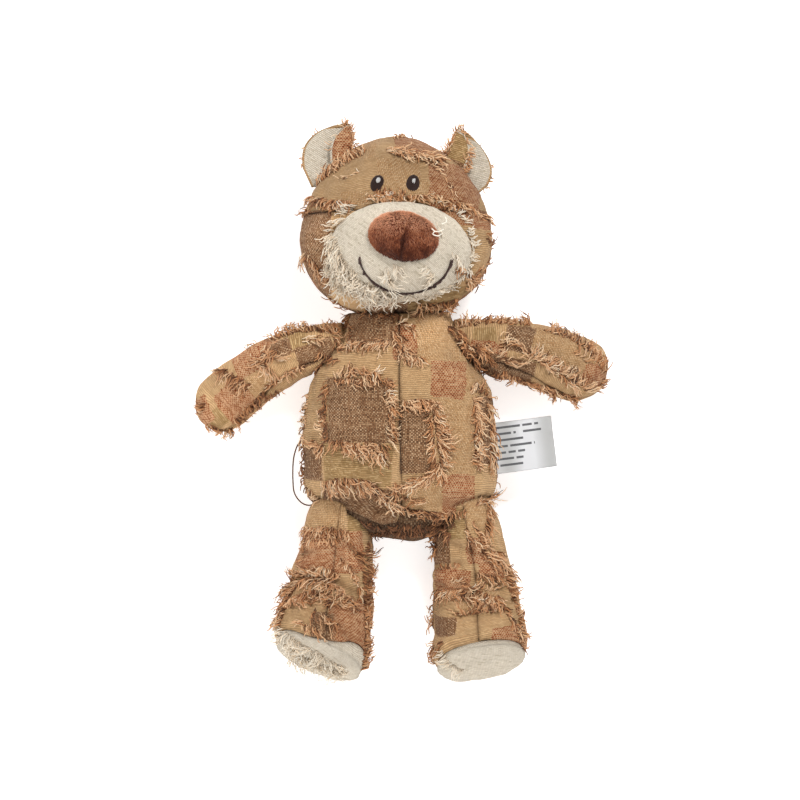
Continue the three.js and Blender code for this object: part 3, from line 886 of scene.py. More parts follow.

# %% [markdown]
# ## From grids to cloth
# All panels now get their relief, their blocks and a tone, which says how much lighter or darker a part is
# painted: painted shade on the base between the legs and on the forehead, and painted light on the front of
# the body near the neck, against the head's shade. The front of the body, the face, the arms, the legs and
# the base take their blocks from the plan, and the back of the body and of the head take dealt ones. The
# forms join at the neck, the armpits and the tops of the legs, and there the cloth is drawn in as well, so
# the body's points are pushed in wherever a limb's seam passes close by.

# %% Seams of the limbs on the body
joins = [grid["points"][0] for name, grid in panels.items() if name.startswith(("arm", "leg"))]
joins = np.concatenate(joins)


def distance_to_joins(points):
    """From each point to the nearest point where a limb is sewn on."""
    nearest = np.full(len(points), NO_SEAM)
    for part in np.array_split(joins, 12):
        gaps = np.linalg.norm(points[:, None] - part[None], axis=-1)
        nearest = np.minimum(nearest, gaps.min(axis=1))
    return nearest


# %% Relief and paint for every panel
FRONT_FACING = ("torso_front", "head_forehead", "head_cheek", "arm_", "leg_", "torso_base")
PAINTED_LIGHT_AND_SHADE = {  # painted light and shade: how much lighter or darker each part is made, the base and the forehead darker as shade
    "head_forehead": 0.80, "head_cheek_right": 1.25, "head_cheek_left": 0.94, "muzzle": 1.05, "sole": 0.98,
    "torso_base": 0.46, "arm_right": 1.12, "arm_left": 0.95, "leg": 1.0,
}
LUMP, TAUT_LUMP = 0.8, 0.35  # the height of the filling's lumps, and where the cloth is taut
LIGHTER_LEG_SEAMS = 0.9  # the legs' seams are painted less dark than the body's
NECK_PAINTED_LIGHT = 0.22  # painted light on the neck, against the head's shade on it


def starting_value(name, table, otherwise):
    """The value of the first key in the table that the name starts with."""
    return next((value for start, value in table.items() if name.startswith(start)), otherwise)


for number, (name, grid) in enumerate(panels.items()):
    if name.startswith("torso"):
        nearest = distance_to_joins(grid["points"].reshape(-1, 3))
        grid["seam"] = np.minimum(grid["seam"], nearest.reshape(grid["seam"].shape))
    lump = TAUT_LUMP if name.startswith(("muzzle", "sole")) else LUMP
    relieve(grid, 100 + 10 * number, lump, creases=name.startswith(("arm", "leg", "torso_front")))
    part = next((part for part in ("torso_base", *PLAN_BLOCKS) if name.startswith(part)), None)
    in_plan = part and name.startswith(FRONT_FACING)
    paint(grid, 500 + 10 * number, PLAN_BLOCKS[part] if in_plan else None)
    if name.startswith("leg"):
        grid["seam"] = grid["seam"] + LIGHTER_LEG_SEAMS
    grid["tone"] = np.full(grid["seam"].shape, starting_value(name, PAINTED_LIGHT_AND_SHADE, 1.0))
    if name.startswith("torso_front"):
        # the front of the body is painted lighter towards the neck, as painted light against the head's shade
        grid["tone"] += NECK_PAINTED_LIGHT * np.clip((grid["points"][..., 1] - 28) / 10, 0, 1)
print("points in the covers", sum(grid["points"].size // 3 for grid in panels.values()))

# %% [markdown]
# ## Materials by nodes
# The finishes are procedural. A small class adds a node and links its inputs in one call, which keeps each
# material short enough to read. What several materials share is a node group with named sockets.

# %% A helper for node trees
class Tree:
    """Adds nodes to a tree and links them. A socket among the inputs is linked, anything else is set."""

    def __init__(self, tree):
        self.tree = tree

    def node(self, kind, inputs=None, **settings):
        made = self.tree.nodes.new(kind)
        for key, value in settings.items():
            setattr(made, key, value)
        for key, value in (inputs or {}).items():
            self.feed(value, made.inputs[key])
        return made

    def feed(self, value, socket):
        if isinstance(value, bpy.types.NodeSocket):
            self.tree.links.new(value, socket)
        else:
            socket.default_value = value

    def math(self, operation, a, b=0.0, c=0.0):
        return self.node("ShaderNodeMath", {0: a, 1: b, 2: c}, operation=operation).outputs[0]

    def times(self, a, b):
        return self.math("MULTIPLY", a, b)

    def minus(self, a, b):
        return self.math("SUBTRACT", a, b)

    def times_plus(self, a, b, c):
        return self.math("MULTIPLY_ADD", a, b, c)

    def attribute(self, name, output="Fac"):
        return self.node("ShaderNodeAttribute", attribute_name=name).outputs[output]

    def ramp(self, factor, *stops):
        made = self.node("ShaderNodeValToRGB", {"Fac": factor})
        elements = made.color_ramp.elements
        while len(elements) < len(stops):
            elements.new(0.5)
        for element, (place, colour) in zip(elements, stops):
            element.position = place
            element.color = (*colour, 1)
        return made.outputs["Color"]

    def mix(self, factor, a, b, blend="MIX"):
        made = self.node("ShaderNodeMix", data_type="RGBA", blend_type=blend)
        for key, value in (("Factor", factor), ("A", a), ("B", b)):
            kind = "VALUE" if key == "Factor" else "RGBA"
            socket = next(s for s in made.inputs if s.name == key and s.type == kind)
            value = (*value, 1) if isinstance(value, tuple) and len(value) == 3 else value
            self.feed(value, socket)
        return next(s for s in made.outputs if s.type == "RGBA")

    def blend(self, factor, a, b):
        """Between two numbers."""
        return self.node("ShaderNodeMix", {0: factor, 2: a, 3: b}, data_type="FLOAT").outputs[0]

    def noise(self, output="Fac", **inputs):
        return self.node("ShaderNodeTexNoise", inputs).outputs[output]

    def white_noise(self, dimensions, **inputs):
        return self.node("ShaderNodeTexWhiteNoise", inputs, noise_dimensions=dimensions).outputs["Value"]

    def bump(self, shader, height, distance, strength=1.0):
        made = self.node("ShaderNodeBump", {"Height": height, "Distance": distance, "Strength": strength})
        self.feed(made.outputs[0], shader.inputs["Normal"])

    def group(self, group, inputs):
        made = self.node("ShaderNodeGroup")
        made.node_tree = group
        for key, value in inputs.items():
            self.feed(value, made.inputs[key])
        return made.outputs


# %% Groups and materials
SHADER_INPUTS = {"roughness": "Roughness", "sheen": "Sheen Weight", "specular": "Specular IOR Level"}


def new_group(name, inputs, outputs):
    """An empty node group with named sockets, and its two ends. Inputs with a value are numbers."""
    group = bpy.data.node_groups.new(name, "ShaderNodeTree")
    for key, value in inputs.items():
        kind = "Vector" if value is None else "Float"
        socket = group.interface.new_socket(key, in_out="INPUT", socket_type="NodeSocket" + kind)
        if value is not None:
            socket.default_value = value
    for key, kind in outputs.items():
        group.interface.new_socket(key, in_out="OUTPUT", socket_type="NodeSocket" + kind)
    tree = Tree(group)
    return group, tree, tree.node("NodeGroupInput").outputs, tree.node("NodeGroupOutput").inputs


def new_material(name, **settings):
    """A material, its tree and its shader, with values for some of the shader's inputs."""
    material = bpy.data.materials.new(name)
    material.use_nodes = True
    tree = Tree(material.node_tree)
    shader = material.node_tree.nodes["Principled BSDF"]
    for key, value in settings.items():
        shader.inputs[SHADER_INPUTS[key]].default_value = value
    return material, tree, shader


# %% [markdown]
# ## Woven yarns
# Every cloth here is woven, so both cloth materials use this group. It divides the flat cloth into cells
# one yarn wide and one yarn high. Where the cell's column and row add up to an odd number the warp lies on
# top, otherwise the weft does, and the yarn on top makes a rounded hump: that is Height. A rib hides the
# warp, so that only the weft's lines show, and a twill moves each row sideways. Random mixes a number for
# each cell with one for each yarn, and a material picks the yarn's colour by it, because this cloth is dyed
# in the yarn and not printed. Warp says which of the two lies on top, and Dot is highest in the middle of a
# cell.

# %% The woven yarns group
YARNS, t, given, result = new_group(
    "woven_yarns",
    {"Cloth": None, "Yarn Width": 1.0, "Yarn Height": 1.0, "Twill": 0.0, "Rib": 0.0},
    {"Height": "Float", "Random": "Float", "Warp": "Float", "Dot": "Float"},
)
place = t.node("ShaderNodeSeparateXYZ", {0: given["Cloth"]}).outputs
u = t.math("DIVIDE", place["X"], given["Yarn Width"])
v = t.math("DIVIDE", place["Y"], given["Yarn Height"])
row = t.math("FLOOR", v)
u = t.times_plus(row, given["Twill"], u)
column = t.math("FLOOR", u)
checker = t.math("FLOORED_MODULO", t.math("ADD", row, column), 2.0)
warp_on_top = t.times(checker, t.minus(1.0, given["Rib"]))
hump_across = t.math("SINE", t.times(t.math("FRACT", u), math.pi))
hump_along = t.math("SINE", t.times(t.math("FRACT", v), math.pi))
warp = t.times(hump_across, t.times_plus(hump_along, 0.4, 0.6))
crossing = t.times_plus(given["Rib"], -0.3, 0.4)
crossing = t.times(crossing, t.minus(1.0, hump_across))
weft = t.times(hump_along, t.minus(1.0, crossing))
cell = t.node("ShaderNodeCombineXYZ", {0: column, 1: row}).outputs[0]
cell_random = t.white_noise("2D", Vector=cell)
warp_random = t.white_noise("1D", W=column)
weft_random = t.white_noise("1D", W=t.math("ADD", row, 500.5))
yarn_random = t.blend(warp_on_top, weft_random, warp_random)
t.feed(t.blend(warp_on_top, weft, warp), result["Height"])
t.feed(checker, result["Warp"])
t.feed(t.times(hump_across, hump_along), result["Dot"])
t.feed(t.times_plus(cell_random, 0.62, t.times(yarn_random, 0.38)), result["Random"])
print(YARNS.name, "gives", [socket.name for socket in result if socket.name])

# %% [markdown]
# ## Patches, seams and shade between the yarns
# Uneven dye and handling make cloth lighter and darker in slow patches, the cloth is painted darker near the
# seams, and painted shade darkens the gaps between the yarns. Both cloths show this, so a second group turns
# it into one factor that a material multiplies its colour by.

# %% The worn shade group
SHADE, t, given, result = new_group(
    "worn_shade",
    {"Seam": 10.0, "Seam Depth": 0.5, "Patchiness": 0.2, "Height": 1.0, "Gap Depth": 0.4},
    {"Shade": "Color"},
)
room = t.node("ShaderNodeTexCoord").outputs["Object"]
slow = t.noise(Vector=room, Scale=55.0, Detail=3.0)
patchy = t.times_plus(t.minus(slow, 0.5), t.times(given["Patchiness"], 2.0), 1.0)
near_seam = t.math("EXPONENT", t.times(given["Seam"], -0.9))
seam_shade = t.minus(1.0, t.times(near_seam, given["Seam Depth"]))
gap = t.times(t.minus(1.0, given["Height"]), given["Gap Depth"])
gap_shade = t.minus(1.0, gap)
total = t.times(t.times(patchy, seam_shade), gap_shade)
t.feed(t.node("ShaderNodeCombineColor", {0: total, 1: total, 2: total}).outputs[0], result["Shade"])
print(SHADE.name, "takes", [socket.name for socket in given if socket.name])


# %% A finish for both cloths
def finish_cloth(t, shader, colour, height, seam_depth, patchiness, gap_depth, relief):
    """Multiplies a cloth's colour by its tone and its shade, and gives it a bump."""
    shade = t.group(SHADE, {"Seam": t.attribute("seam"), "Seam Depth": seam_depth, "Patchiness": patchiness,
                            "Height": height, "Gap Depth": gap_depth})
    tone = t.node("ShaderNodeCombineColor", {k: t.attribute("tone") for k in range(3)}).outputs[0]
    toned = t.mix(1.0, colour, tone, "MULTIPLY")
    t.feed(t.mix(1.0, toned, shade["Shade"], "MULTIPLY"), shader.inputs["Base Color"])
    t.bump(shader, height, relief, 0.8)


# %% [markdown]
# ## Patchwork cloth
# The tan ground and the olive blocks are a fine rib, the amber blocks a slanted basket, the rust ones a
# twill with dots, and the dark ones a coarse basket of mixed yarns. A slow drift keeps the yarns from being
# dead straight. Each kind of block has its own ramp of three or four yarn colours. A signed distance,
# shaken by the yarn's random number, decides which kind shows, so that a block ends at a yarn and never in
# a blur.

# %% The patchwork material
PATCHWORK, t, shader = new_material("patchwork_cloth", roughness=0.92, sheen=0.05, specular=0.1)
flat_cloth = t.attribute("cloth", "Vector")
drift = t.noise("Color", Vector=flat_cloth, Scale=0.07, Detail=2.0)
drift = t.node("ShaderNodeVectorMath", {0: drift, 1: (0.5, 0.5, 0.5)}, operation="SUBTRACT").outputs[0]
drifted = {0: drift, 1: (4.0, 4.0, 0.0), 2: flat_cloth}
cloth = t.node("ShaderNodeVectorMath", drifted, operation="MULTIPLY_ADD").outputs[0]
fine = t.group(YARNS, {"Cloth": cloth, "Yarn Width": 1.7, "Yarn Height": 1.05, "Rib": 0.85, "Twill": 0.37})
coarse = t.group(YARNS, {"Cloth": cloth, "Yarn Width": 1.0, "Yarn Height": 0.9})
diagonal = t.group(YARNS, {"Cloth": cloth, "Yarn Width": 1.6, "Yarn Height": 1.0, "Twill": 0.5, "Rib": 0.5})
slant = t.group(YARNS, {"Cloth": cloth, "Yarn Width": 1.0, "Yarn Height": 0.9, "Twill": 0.25})
tan = ((0, (0.45, 0.27, 0.13)), (0.5, (0.555, 0.345, 0.17)), (1, (0.63, 0.41, 0.215)))
colour = t.ramp(fine["Random"], *tan)
height = t.times_plus(fine["Height"], 0.8, 0.2)


def mixed(yarns, output, weight):
    """Part of the yarns' random number and part of another output, between 0 and 1."""
    return t.times_plus(yarns[output], weight, t.times(yarns["Random"], 1 - weight))


kinds = {  # the yarns, what picks the yarn's colour, how deep the weave is, and the colours
    "amber": (slant, mixed(slant, "Warp", 0.25), 0.9,
              (0, (0.43, 0.225, 0.095)), (0.45, (0.61, 0.365, 0.175)), (1, (0.77, 0.515, 0.29))),
    "olive": (fine, fine["Random"], 0.8,
              (0, (0.26, 0.155, 0.06)), (0.5, (0.39, 0.24, 0.105)), (1, (0.55, 0.37, 0.18))),
    "rust": (diagonal, mixed(diagonal, "Dot", 0.55), 0.9,
             (0.15, (0.78, 0.51, 0.30)), (0.4, (0.60, 0.32, 0.155)),
             (0.6, (0.33, 0.10, 0.038)), (1, (0.15, 0.035, 0.014))),
    "dark": (coarse, mixed(coarse, "Warp", 0.3), 1.0,
             (0, (0.10, 0.043, 0.019)), (0.4, (0.26, 0.125, 0.057)),
             (0.65, (0.42, 0.245, 0.13)), (1, (0.64, 0.42, 0.25))),
}
for kind, (yarns, pick, depth, *stops) in kinds.items():
    shaken = t.times_plus(t.minus(yarns["Random"], 0.5), 1.2, t.attribute(kind))
    mask = t.node("ShaderNodeMapRange", {0: shaken, 1: -0.12, 2: 0.12}).outputs[0]
    colour = t.mix(mask, colour, t.ramp(pick, *stops))
    lifted = t.times_plus(yarns["Height"], depth, 1 - depth)
    height = t.blend(mask, height, lifted)
finish_cloth(t, shader, colour, height, seam_depth=0.6, patchiness=0.24, gap_depth=0.55, relief=0.0005)
print("weaves of the patchwork", ["tan", *kinds])

# %% [markdown]
# ## Cream cloth and frayed thread
# The muzzle, the soles and the fronts of the ears are an undyed rib that runs aslant. A frayed thread takes
# one colour of a ramp by its tint, from cream over gold and rust to nearly black, and it is darker at its
# root.

# %% Cream cloth
CREAM, t, shader = new_material("cream_cloth", roughness=0.9, sheen=0.05, specular=0.1)
aslant = {"Vector": t.attribute("cloth", "Vector"), "Angle": 0.65}
aslant = t.node("ShaderNodeVectorRotate", aslant, rotation_type="Z_AXIS").outputs[0]
rib = t.group(YARNS, {"Cloth": aslant, "Yarn Width": 1.3, "Yarn Height": 1.0, "Twill": 0.4, "Rib": 0.6})
colour = t.ramp(rib["Random"], (0, (0.50, 0.42, 0.31)), (0.4, (0.66, 0.575, 0.455)), (1, (0.75, 0.67, 0.55)))
finish_cloth(t, shader, colour, rib["Height"], seam_depth=0.3, patchiness=0.14, gap_depth=0.35, relief=0.0004)

# %% Frayed thread
THREAD, t, shader = new_material("frayed_thread", roughness=0.85, sheen=0.05, specular=0.15)
colour = t.ramp(
    t.attribute("tint"), (0, (0.92, 0.86, 0.74)), (0.2, (0.84, 0.63, 0.41)), (0.4, (0.78, 0.49, 0.28)),
    (0.6, (0.58, 0.275, 0.12)), (0.8, (0.27, 0.118, 0.053)), (1, (0.08, 0.035, 0.018)),
)
root = t.mix(1.0, colour, (0.78, 0.74, 0.7), "MULTIPLY")
t.feed(t.mix(t.attribute("along"), root, colour), shader.inputs["Base Color"])

# %% [markdown]
# ## Fibre, plastic, plush and embroidery
# These finishes are small, but each has what the eye expects: flecks in the fibre filling, a haze in the
# soft plastic of the squeaker, tips lighter than roots in the plush of the nose, and a gloss on embroidery
# thread, which is laid in close parallel stitches, so a wave gives its bump.

# %% Fibre and plastic
FIBRE, t, shader = new_material("polyester_fibre", roughness=1.0)
tangle = t.noise(Scale=400.0, Detail=6.0, Distortion=2.0)
t.feed(t.ramp(tangle, (0.3, (0.62, 0.61, 0.58)), (0.7, (0.88, 0.87, 0.84))), shader.inputs["Base Color"])
t.bump(shader, tangle, 0.001)

PLASTIC, t, shader = new_material("squeaker_plastic")
haze = t.noise(Scale=90.0, Detail=4.0)
t.feed(t.ramp(haze, (0.2, (0.70, 0.66, 0.55)), (0.8, (0.82, 0.79, 0.70))), shader.inputs["Base Color"])
t.feed(t.node("ShaderNodeMapRange", {0: haze, 3: 0.35, 4: 0.55}).outputs[0], shader.inputs["Roughness"])

# %% Plush and embroidery
PLUSH, t, shader = new_material("nose_plush", roughness=0.75, sheen=0.05, specular=0.2)
blotch = t.noise(Scale=260.0, Detail=3.0)
root = t.ramp(blotch, (0.3, (0.09, 0.021, 0.009)), (0.7, (0.19, 0.047, 0.019)))
# the tips take their colour from the tint, which carries the painted highlight at the top and painted shade
# in the dimple
tip_colour = t.ramp(
    t.attribute("tint"), (0, (0.04, 0.01, 0.004)), (0.25, (0.20, 0.052, 0.02)),
    (0.55, (0.51, 0.175, 0.078)), (1, (0.95, 0.47, 0.27)),
)
t.feed(t.mix(t.attribute("along"), root, tip_colour), shader.inputs["Base Color"])

EMBROIDERY, t, shader = new_material("dark_embroidery", roughness=0.5, specular=0.3)
colour = t.ramp(
    t.attribute("tint"), (0, (0.022, 0.011, 0.009)), (0.5, (0.05, 0.024, 0.019)), (0.9, (0.10, 0.05, 0.04)),
)
t.feed(t.mix(t.attribute("white"), colour, (0.82, 0.80, 0.78)), shader.inputs["Base Color"])
stitches = {"Vector": t.attribute("cloth", "Vector"), "Scale": 1.1, "Distortion": 0.4}
t.bump(shader, t.node("ShaderNodeTexWave", stitches).outputs["Fac"], 0.0003)

# %% [markdown]
# ## Label tape
# A care label is satin tape with fine cross ribs, printed in small dark letters. A reusable part carries no
# words, so each line is a row of short dark bars of uneven length, from a random number for each row and
# each dash. The satin is lighter and darker in broad bands, as it bends under the light.

# %% The label tape
BAR_ROWS, BAR_PITCH, BAR_HEIGHT, DASH_WIDTH = 7, 3.6, 1.3, 1.4
RIBS_PER_MM = 14.0  # as an angle in radians
SATIN, t, shader = new_material("satin_tape", sheen=0.2)
tape = t.attribute("cloth", "Vector")
place = t.node("ShaderNodeSeparateXYZ", {0: tape}).outputs
ribs = t.math("SINE", t.times(place["Y"], RIBS_PER_MM))
across = t.node("ShaderNodeCombineXYZ", {0: place["X"]}).outputs[0]
sheen = t.noise(Vector=across, Scale=0.07, Detail=0.0)
colour = t.ramp(sheen, (0.35, (0.47, 0.47, 0.46)), (0.65, (0.74, 0.74, 0.75)))
line = t.math("DIVIDE", place["Y"], BAR_PITCH)
in_row = t.math("LESS_THAN", t.math("FRACT", line), BAR_HEIGHT / BAR_PITCH)
dash_place = {0: t.math("FLOOR", t.math("DIVIDE", place["X"], DASH_WIDTH)), 1: t.math("FLOOR", line)}
dash = t.white_noise("2D", Vector=t.node("ShaderNodeCombineXYZ", dash_place).outputs[0])
reach = t.white_noise("1D", W=t.math("FLOOR", line))
short = t.math("LESS_THAN", place["X"], t.times_plus(reach, 15.0, 17.0))
inside_rows = t.math("LESS_THAN", t.math("ABSOLUTE", t.minus(line, 0.3)), BAR_ROWS / 2)
dashed = t.times(in_row, t.math("GREATER_THAN", dash, 0.14))
ink = t.times(dashed, t.times(short, inside_rows))
t.feed(t.mix(t.times(ink, 0.92), colour, (0.05, 0.05, 0.055)), shader.inputs["Base Color"])
t.bump(shader, ribs, 0.00006)
t.feed(t.node("ShaderNodeMapRange", {0: sheen, 3: 0.28, 4: 0.42}).outputs[0], shader.inputs["Roughness"])
print("materials", [m.name for m in (PATCHWORK, CREAM, THREAD, FIBRE, PLASTIC, PLUSH, EMBROIDERY, SATIN)])

# %% [markdown]
# ## Sewing the covers
# Each panel becomes one plate that stands for its solid. A cloth's thickness is a second grid further in,
# and the two poles of round panels and the arm tips are welded to single points.

# %% A plate from a grid
VALUES = ("seam", "tone") + KINDS


def weld(mesh, distance=0.02):
    """Merges points that lie together, as at poles, and drops the faces that vanish."""
    work = bmesh.new()
    work.from_mesh(mesh)
    bmesh.ops.remove_doubles(work, verts=work.verts, dist=distance * MM)
    bmesh.ops.dissolve_degenerate(work, edges=work.edges, dist=0.001 * MM)
    work.to_mesh(mesh)
    work.free()
    mesh.update()


def plate(name, grid, inner, material, turned_over):
    """A closed plate between a grid and a second grid further in, with the grid's values on both."""
    rows, columns = grid["points"].shape[:2]
    both = np.concatenate([grid["points"].reshape(-1, 3), inner.reshape(-1, 3)])
    values = {key: np.tile(grid[key].ravel(), 2) for key in VALUES}
    values["cloth"] = np.tile(grid["cloth"].reshape(-1, 3), (2, 1))
    faces = plate_faces(rows, columns, grid["wrap"])
    if turned_over:
        faces = tuple(f[:, ::-1] for f in faces)
    piece = make_piece(name, both, faces, material, values)
    weld(piece.data)
    return piece


# %% Make the cover pieces
CLOTH_THICKNESS = 1.2


for name, grid in panels.items():
    inner = grid["points"] - grid["normals"] * CLOTH_THICKNESS
    inner[..., 2] = np.maximum(inner[..., 2], CLEAR + CLOTH_THICKNESS * (grid["normals"][..., 2] < 0))
    cream = name.startswith(("muzzle", "sole"))
    piece = plate(f"{name}_cover", grid, inner, CREAM if cream else PATCHWORK, not grid["turned"])
    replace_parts(piece, name)
print("covers", len(panels))

# %% [markdown]
# ## Frayed threads
# Where a block ends, its long floats were clipped, and they fray into fringes of soft strands. A hair
# system would comb them, but it leaves curves and no solids, so each strand is a thin closed tube with
# three sides, about as wide as a sewing thread. It starts in the cloth, rises, then flops over in the
# direction of its fringe, with the crimp it kept from the weave. Thousands of them are worked out in one go
# with numpy: for every strand the angles along it, then the places, then the rings.

# %% Strand geometry
STRAND_POINTS = 7
CRIMP_LENGTH = 5.0
SIDES = 3
LOWEST_THREAD = 0.45  # height in mm of the middle of a thread that lies on the surface under the bear


def tube_faces(points):
    """Quads round one tube, and the triangles that close its ends."""
    ring = np.arange(points - 1) * SIDES
    sides = [(ring + k, ring + (k + 1) % SIDES) for k in range(SIDES)]
    quads = np.concatenate([np.stack([a, b, b + SIDES, a + SIDES], axis=1) for a, b in sides])
    last = SIDES * (points - 1)
    return quads, np.array([[2, 1, 0], [last, last + 1, last + 2]])


def strand_tubes(roots, normals, flows, lengths, rng, radius=(0.29, 0.43), rise=48, droop=5, bend=0.35,
                 crimp=0.5, points=STRAND_POINTS, taper=0.4, lean=0.0, phase=None):
    """Points and faces of closed tubes. All places in mm, rise and droop in degrees from the cloth."""
    count = len(roots)
    share = np.linspace(0, 1, points)[None]
    start = np.radians(rng.normal(rise, 16, (count, 1)))
    stop = np.radians(rng.normal(-droop, 14, (count, 1)))
    phase = rng.uniform(0, 6.28, count) if phase is None else phase
    climb = stop + (start - stop) * (1 - share) ** 2.2
    lean = np.broadcast_to(lean, count)[:, None]
    swing = (lean + rng.normal(0, bend, (count, 1))) * share ** 1.3 + rng.normal(0, 0.15, (count, 1))
    swing += crimp * np.sin(2 * np.pi * (share * lengths[:, None] / CRIMP_LENGTH) + phase[:, None])
    flows = unit(flows - normals * np.sum(flows * normals, axis=-1, keepdims=True))
    sides = np.cross(normals, flows)
    level = np.cos(swing)[..., None] * flows[:, None] + np.sin(swing)[..., None] * sides[:, None]
    run = np.cos(climb)[..., None] * level
    run += np.sin(climb)[..., None] * normals[:, None]
    step = (lengths / (points - 1))[:, None, None]
    walked = np.cumsum(run[:, :-1] * step, axis=1)
    line = roots[:, None] + np.concatenate([np.zeros((count, 1, 3)), walked], axis=1)
    line[..., 2] = np.maximum(line[..., 2], LOWEST_THREAD)
    a = unit(np.cross(run, normals[:, None] + 0.2 * sides[:, None]))
    b = np.cross(run, a)
    size = rng.uniform(*radius, (count, 1)) * (1 - taper * share ** 3)
    corners = (np.arange(SIDES) * 2 * np.pi / SIDES)[None, None, :, None]
    spokes = np.cos(corners) * a[:, :, None] + np.sin(corners) * b[:, :, None]
    rings = line[:, :, None] + size[..., None, None] * spokes
    quads, caps = tube_faces(points)
    offsets = (np.arange(count) * SIDES * points)[:, None, None]
    quads, caps = (quads[None] + offsets).reshape(-1, 4), (caps[None] + offsets).reshape(-1, 3)
    return rings.reshape(-1, 3), quads, caps, share


# %% Bundles of strands
def smooth_line(places, count):
    """A smooth curve through a few places."""
    places = np.array(places, float)
    padded = np.concatenate([2 * places[:1] - places[1:2], places, 2 * places[-1:] - places[-2:-1]])
    t = np.linspace(0, len(places) - 1, count)
    k = np.minimum(t.astype(int), len(places) - 2)
    f = (t - k)[:, None]
    a, b, c, d = (padded[k + i] for i in range(4))
    return b + f / 2 * (c - a + f * (2 * a - 5 * b + 4 * c - d + f * (3 * (b - c) + d - a)))


class Bundle:
    """Collects strands and makes one mesh piece of them."""

    def __init__(self, name, slot):
        self.name, self.slot = name, slot
        self.points, self.quads, self.caps, self.tint, self.along = [], [], [], [], []
        self.total = 0

    def add(self, roots, normals, flows, lengths, tints, rng, **shape):
        if not len(roots):
            return
        points, quads, caps, share = strand_tubes(roots, normals, flows, lengths, rng, **shape)
        self.points.append(points)
        self.quads.append(quads + self.total)
        self.caps.append(caps + self.total)
        self.tint.append(np.repeat(tints, points.shape[0] // len(roots)))
        self.along.append(np.tile(np.repeat(share[0], SIDES), len(roots)))
        self.total += len(points)

    def add_line(self, line, radius, tint, sides=SIDES):
        """One long thread along a curve that is given."""
        run = unit(np.gradient(line, axis=0))
        a = unit(np.cross(run, [0.1, 0.2, 1]))
        b = np.cross(run, a)
        corners = np.arange(sides)[None, :, None] * 2 * np.pi / sides
        rings = line[:, None] + radius * (np.cos(corners) * a[:, None] + np.sin(corners) * b[:, None])
        ring = np.arange(sides)
        start = sides * np.arange(len(line) - 1)[:, None]
        near, over = start + ring, start + (ring + 1) % sides
        quads = np.stack([near, over, over + sides, near + sides], axis=-1).reshape(-1, 4)
        self.points.append(rings.reshape(-1, 3))
        self.quads.append(quads + self.total)
        self.caps.append(np.array([ring[::-1], ring + sides * (len(line) - 1)]) + self.total)
        self.tint.append(np.full(sides * len(line), tint))
        self.along.append(np.ones(sides * len(line)))
        self.total += sides * len(line)

    def make(self, material, extra=()):
        values = {"tint": np.concatenate(self.tint), "along": np.concatenate(self.along)}
        for key in extra:
            values[key] = np.zeros(self.total)
        faces = [np.concatenate(self.quads), np.concatenate(self.caps)]
        piece = make_piece(self.name, np.concatenate(self.points), faces, material, values)
        print(self.name, sum(len(f) for f in faces), "faces")
        return piece


# %% [markdown]
# ## Finding the cloth under a fringe
# A fringe is drawn in plan as a line, and each strand's root is dropped straight down on the covers. A tree
# of bounding volumes answers where that is and how the cloth faces there. The nearest point of a grid would
# do as well, but it would put the roots in rows.

# %% Root finders
HIGH_ABOVE = 200  # where the rays start, in mm
cover_points = np.concatenate([g["points"].reshape(-1, 3) for g in panels.values()])
cover_faces, first = [], 0
for grid in panels.values():
    rows, columns = grid["points"].shape[:2]
    outer = plate_faces(rows, columns, grid["wrap"])[0]
    cover_faces += (outer + first).tolist()
    first += rows * columns
COVER_TREE = BVHTree.FromPolygons(cover_points.tolist(), cover_faces)


def drop(xy):
    """Roots and normals on the covers straight below places in plan, and which places have any."""
    roots, normals, kept = [], [], []
    for i, (x, y) in enumerate(xy):
        place, normal, _, _ = COVER_TREE.ray_cast(Vector((x, y, HIGH_ABOVE)), Vector((0, 0, -1)))
        if place is not None:
            roots.append(place)
            normals.append(normal if normal.z > 0 else -normal)
            kept.append(i)
    return np.array(roots).reshape(-1, 3), np.array(normals).reshape(-1, 3), np.array(kept, int)


def scatter_line(line, per_mm, depth, rng):
    """Random places along a line of straight pieces, and up to depth mm to both sides."""
    line = np.array(line, float)
    steps = np.linalg.norm(np.diff(line, axis=0), axis=1)
    marks = np.concatenate([[0], np.cumsum(steps)])
    count = max(int(marks[-1] * per_mm), 1)
    where = np.sort(rng.uniform(0, marks[-1], count))
    xy = np.stack([np.interp(where, marks, line[:, k]) for k in (0, 1)], axis=-1)
    return xy + rng.uniform(-depth, depth, (count, 2))


# %% [markdown]
# A fringe's strands come in tufts, one for each yarn that was cut, and a tuft turns, leans and waves as one.
# Between the long strands stand short dark ones, which are painted shadow for the fringe.

# %% A fringe along a line
MIXES = {  # lowest, likeliest and highest tint of a fringe: 0 cream, 0.4 peach, 0.6 rust, 0.8 brown, 1 dark
    "cream": (0, 0.02, 0.14),
    "blond": (0.16, 0.28, 0.6),
    "peach": (0.12, 0.4, 0.86),
    "rust": (0.20, 0.48, 0.95),
    "brown": (0.4, 0.78, 1),
    "dark": (0.7, 0.92, 1),
}
DENSITY = 0.95  # thins all the fringes
DENSE = 2.5  # strands per mm from which a fringe also gets short dark strands as painted shadow
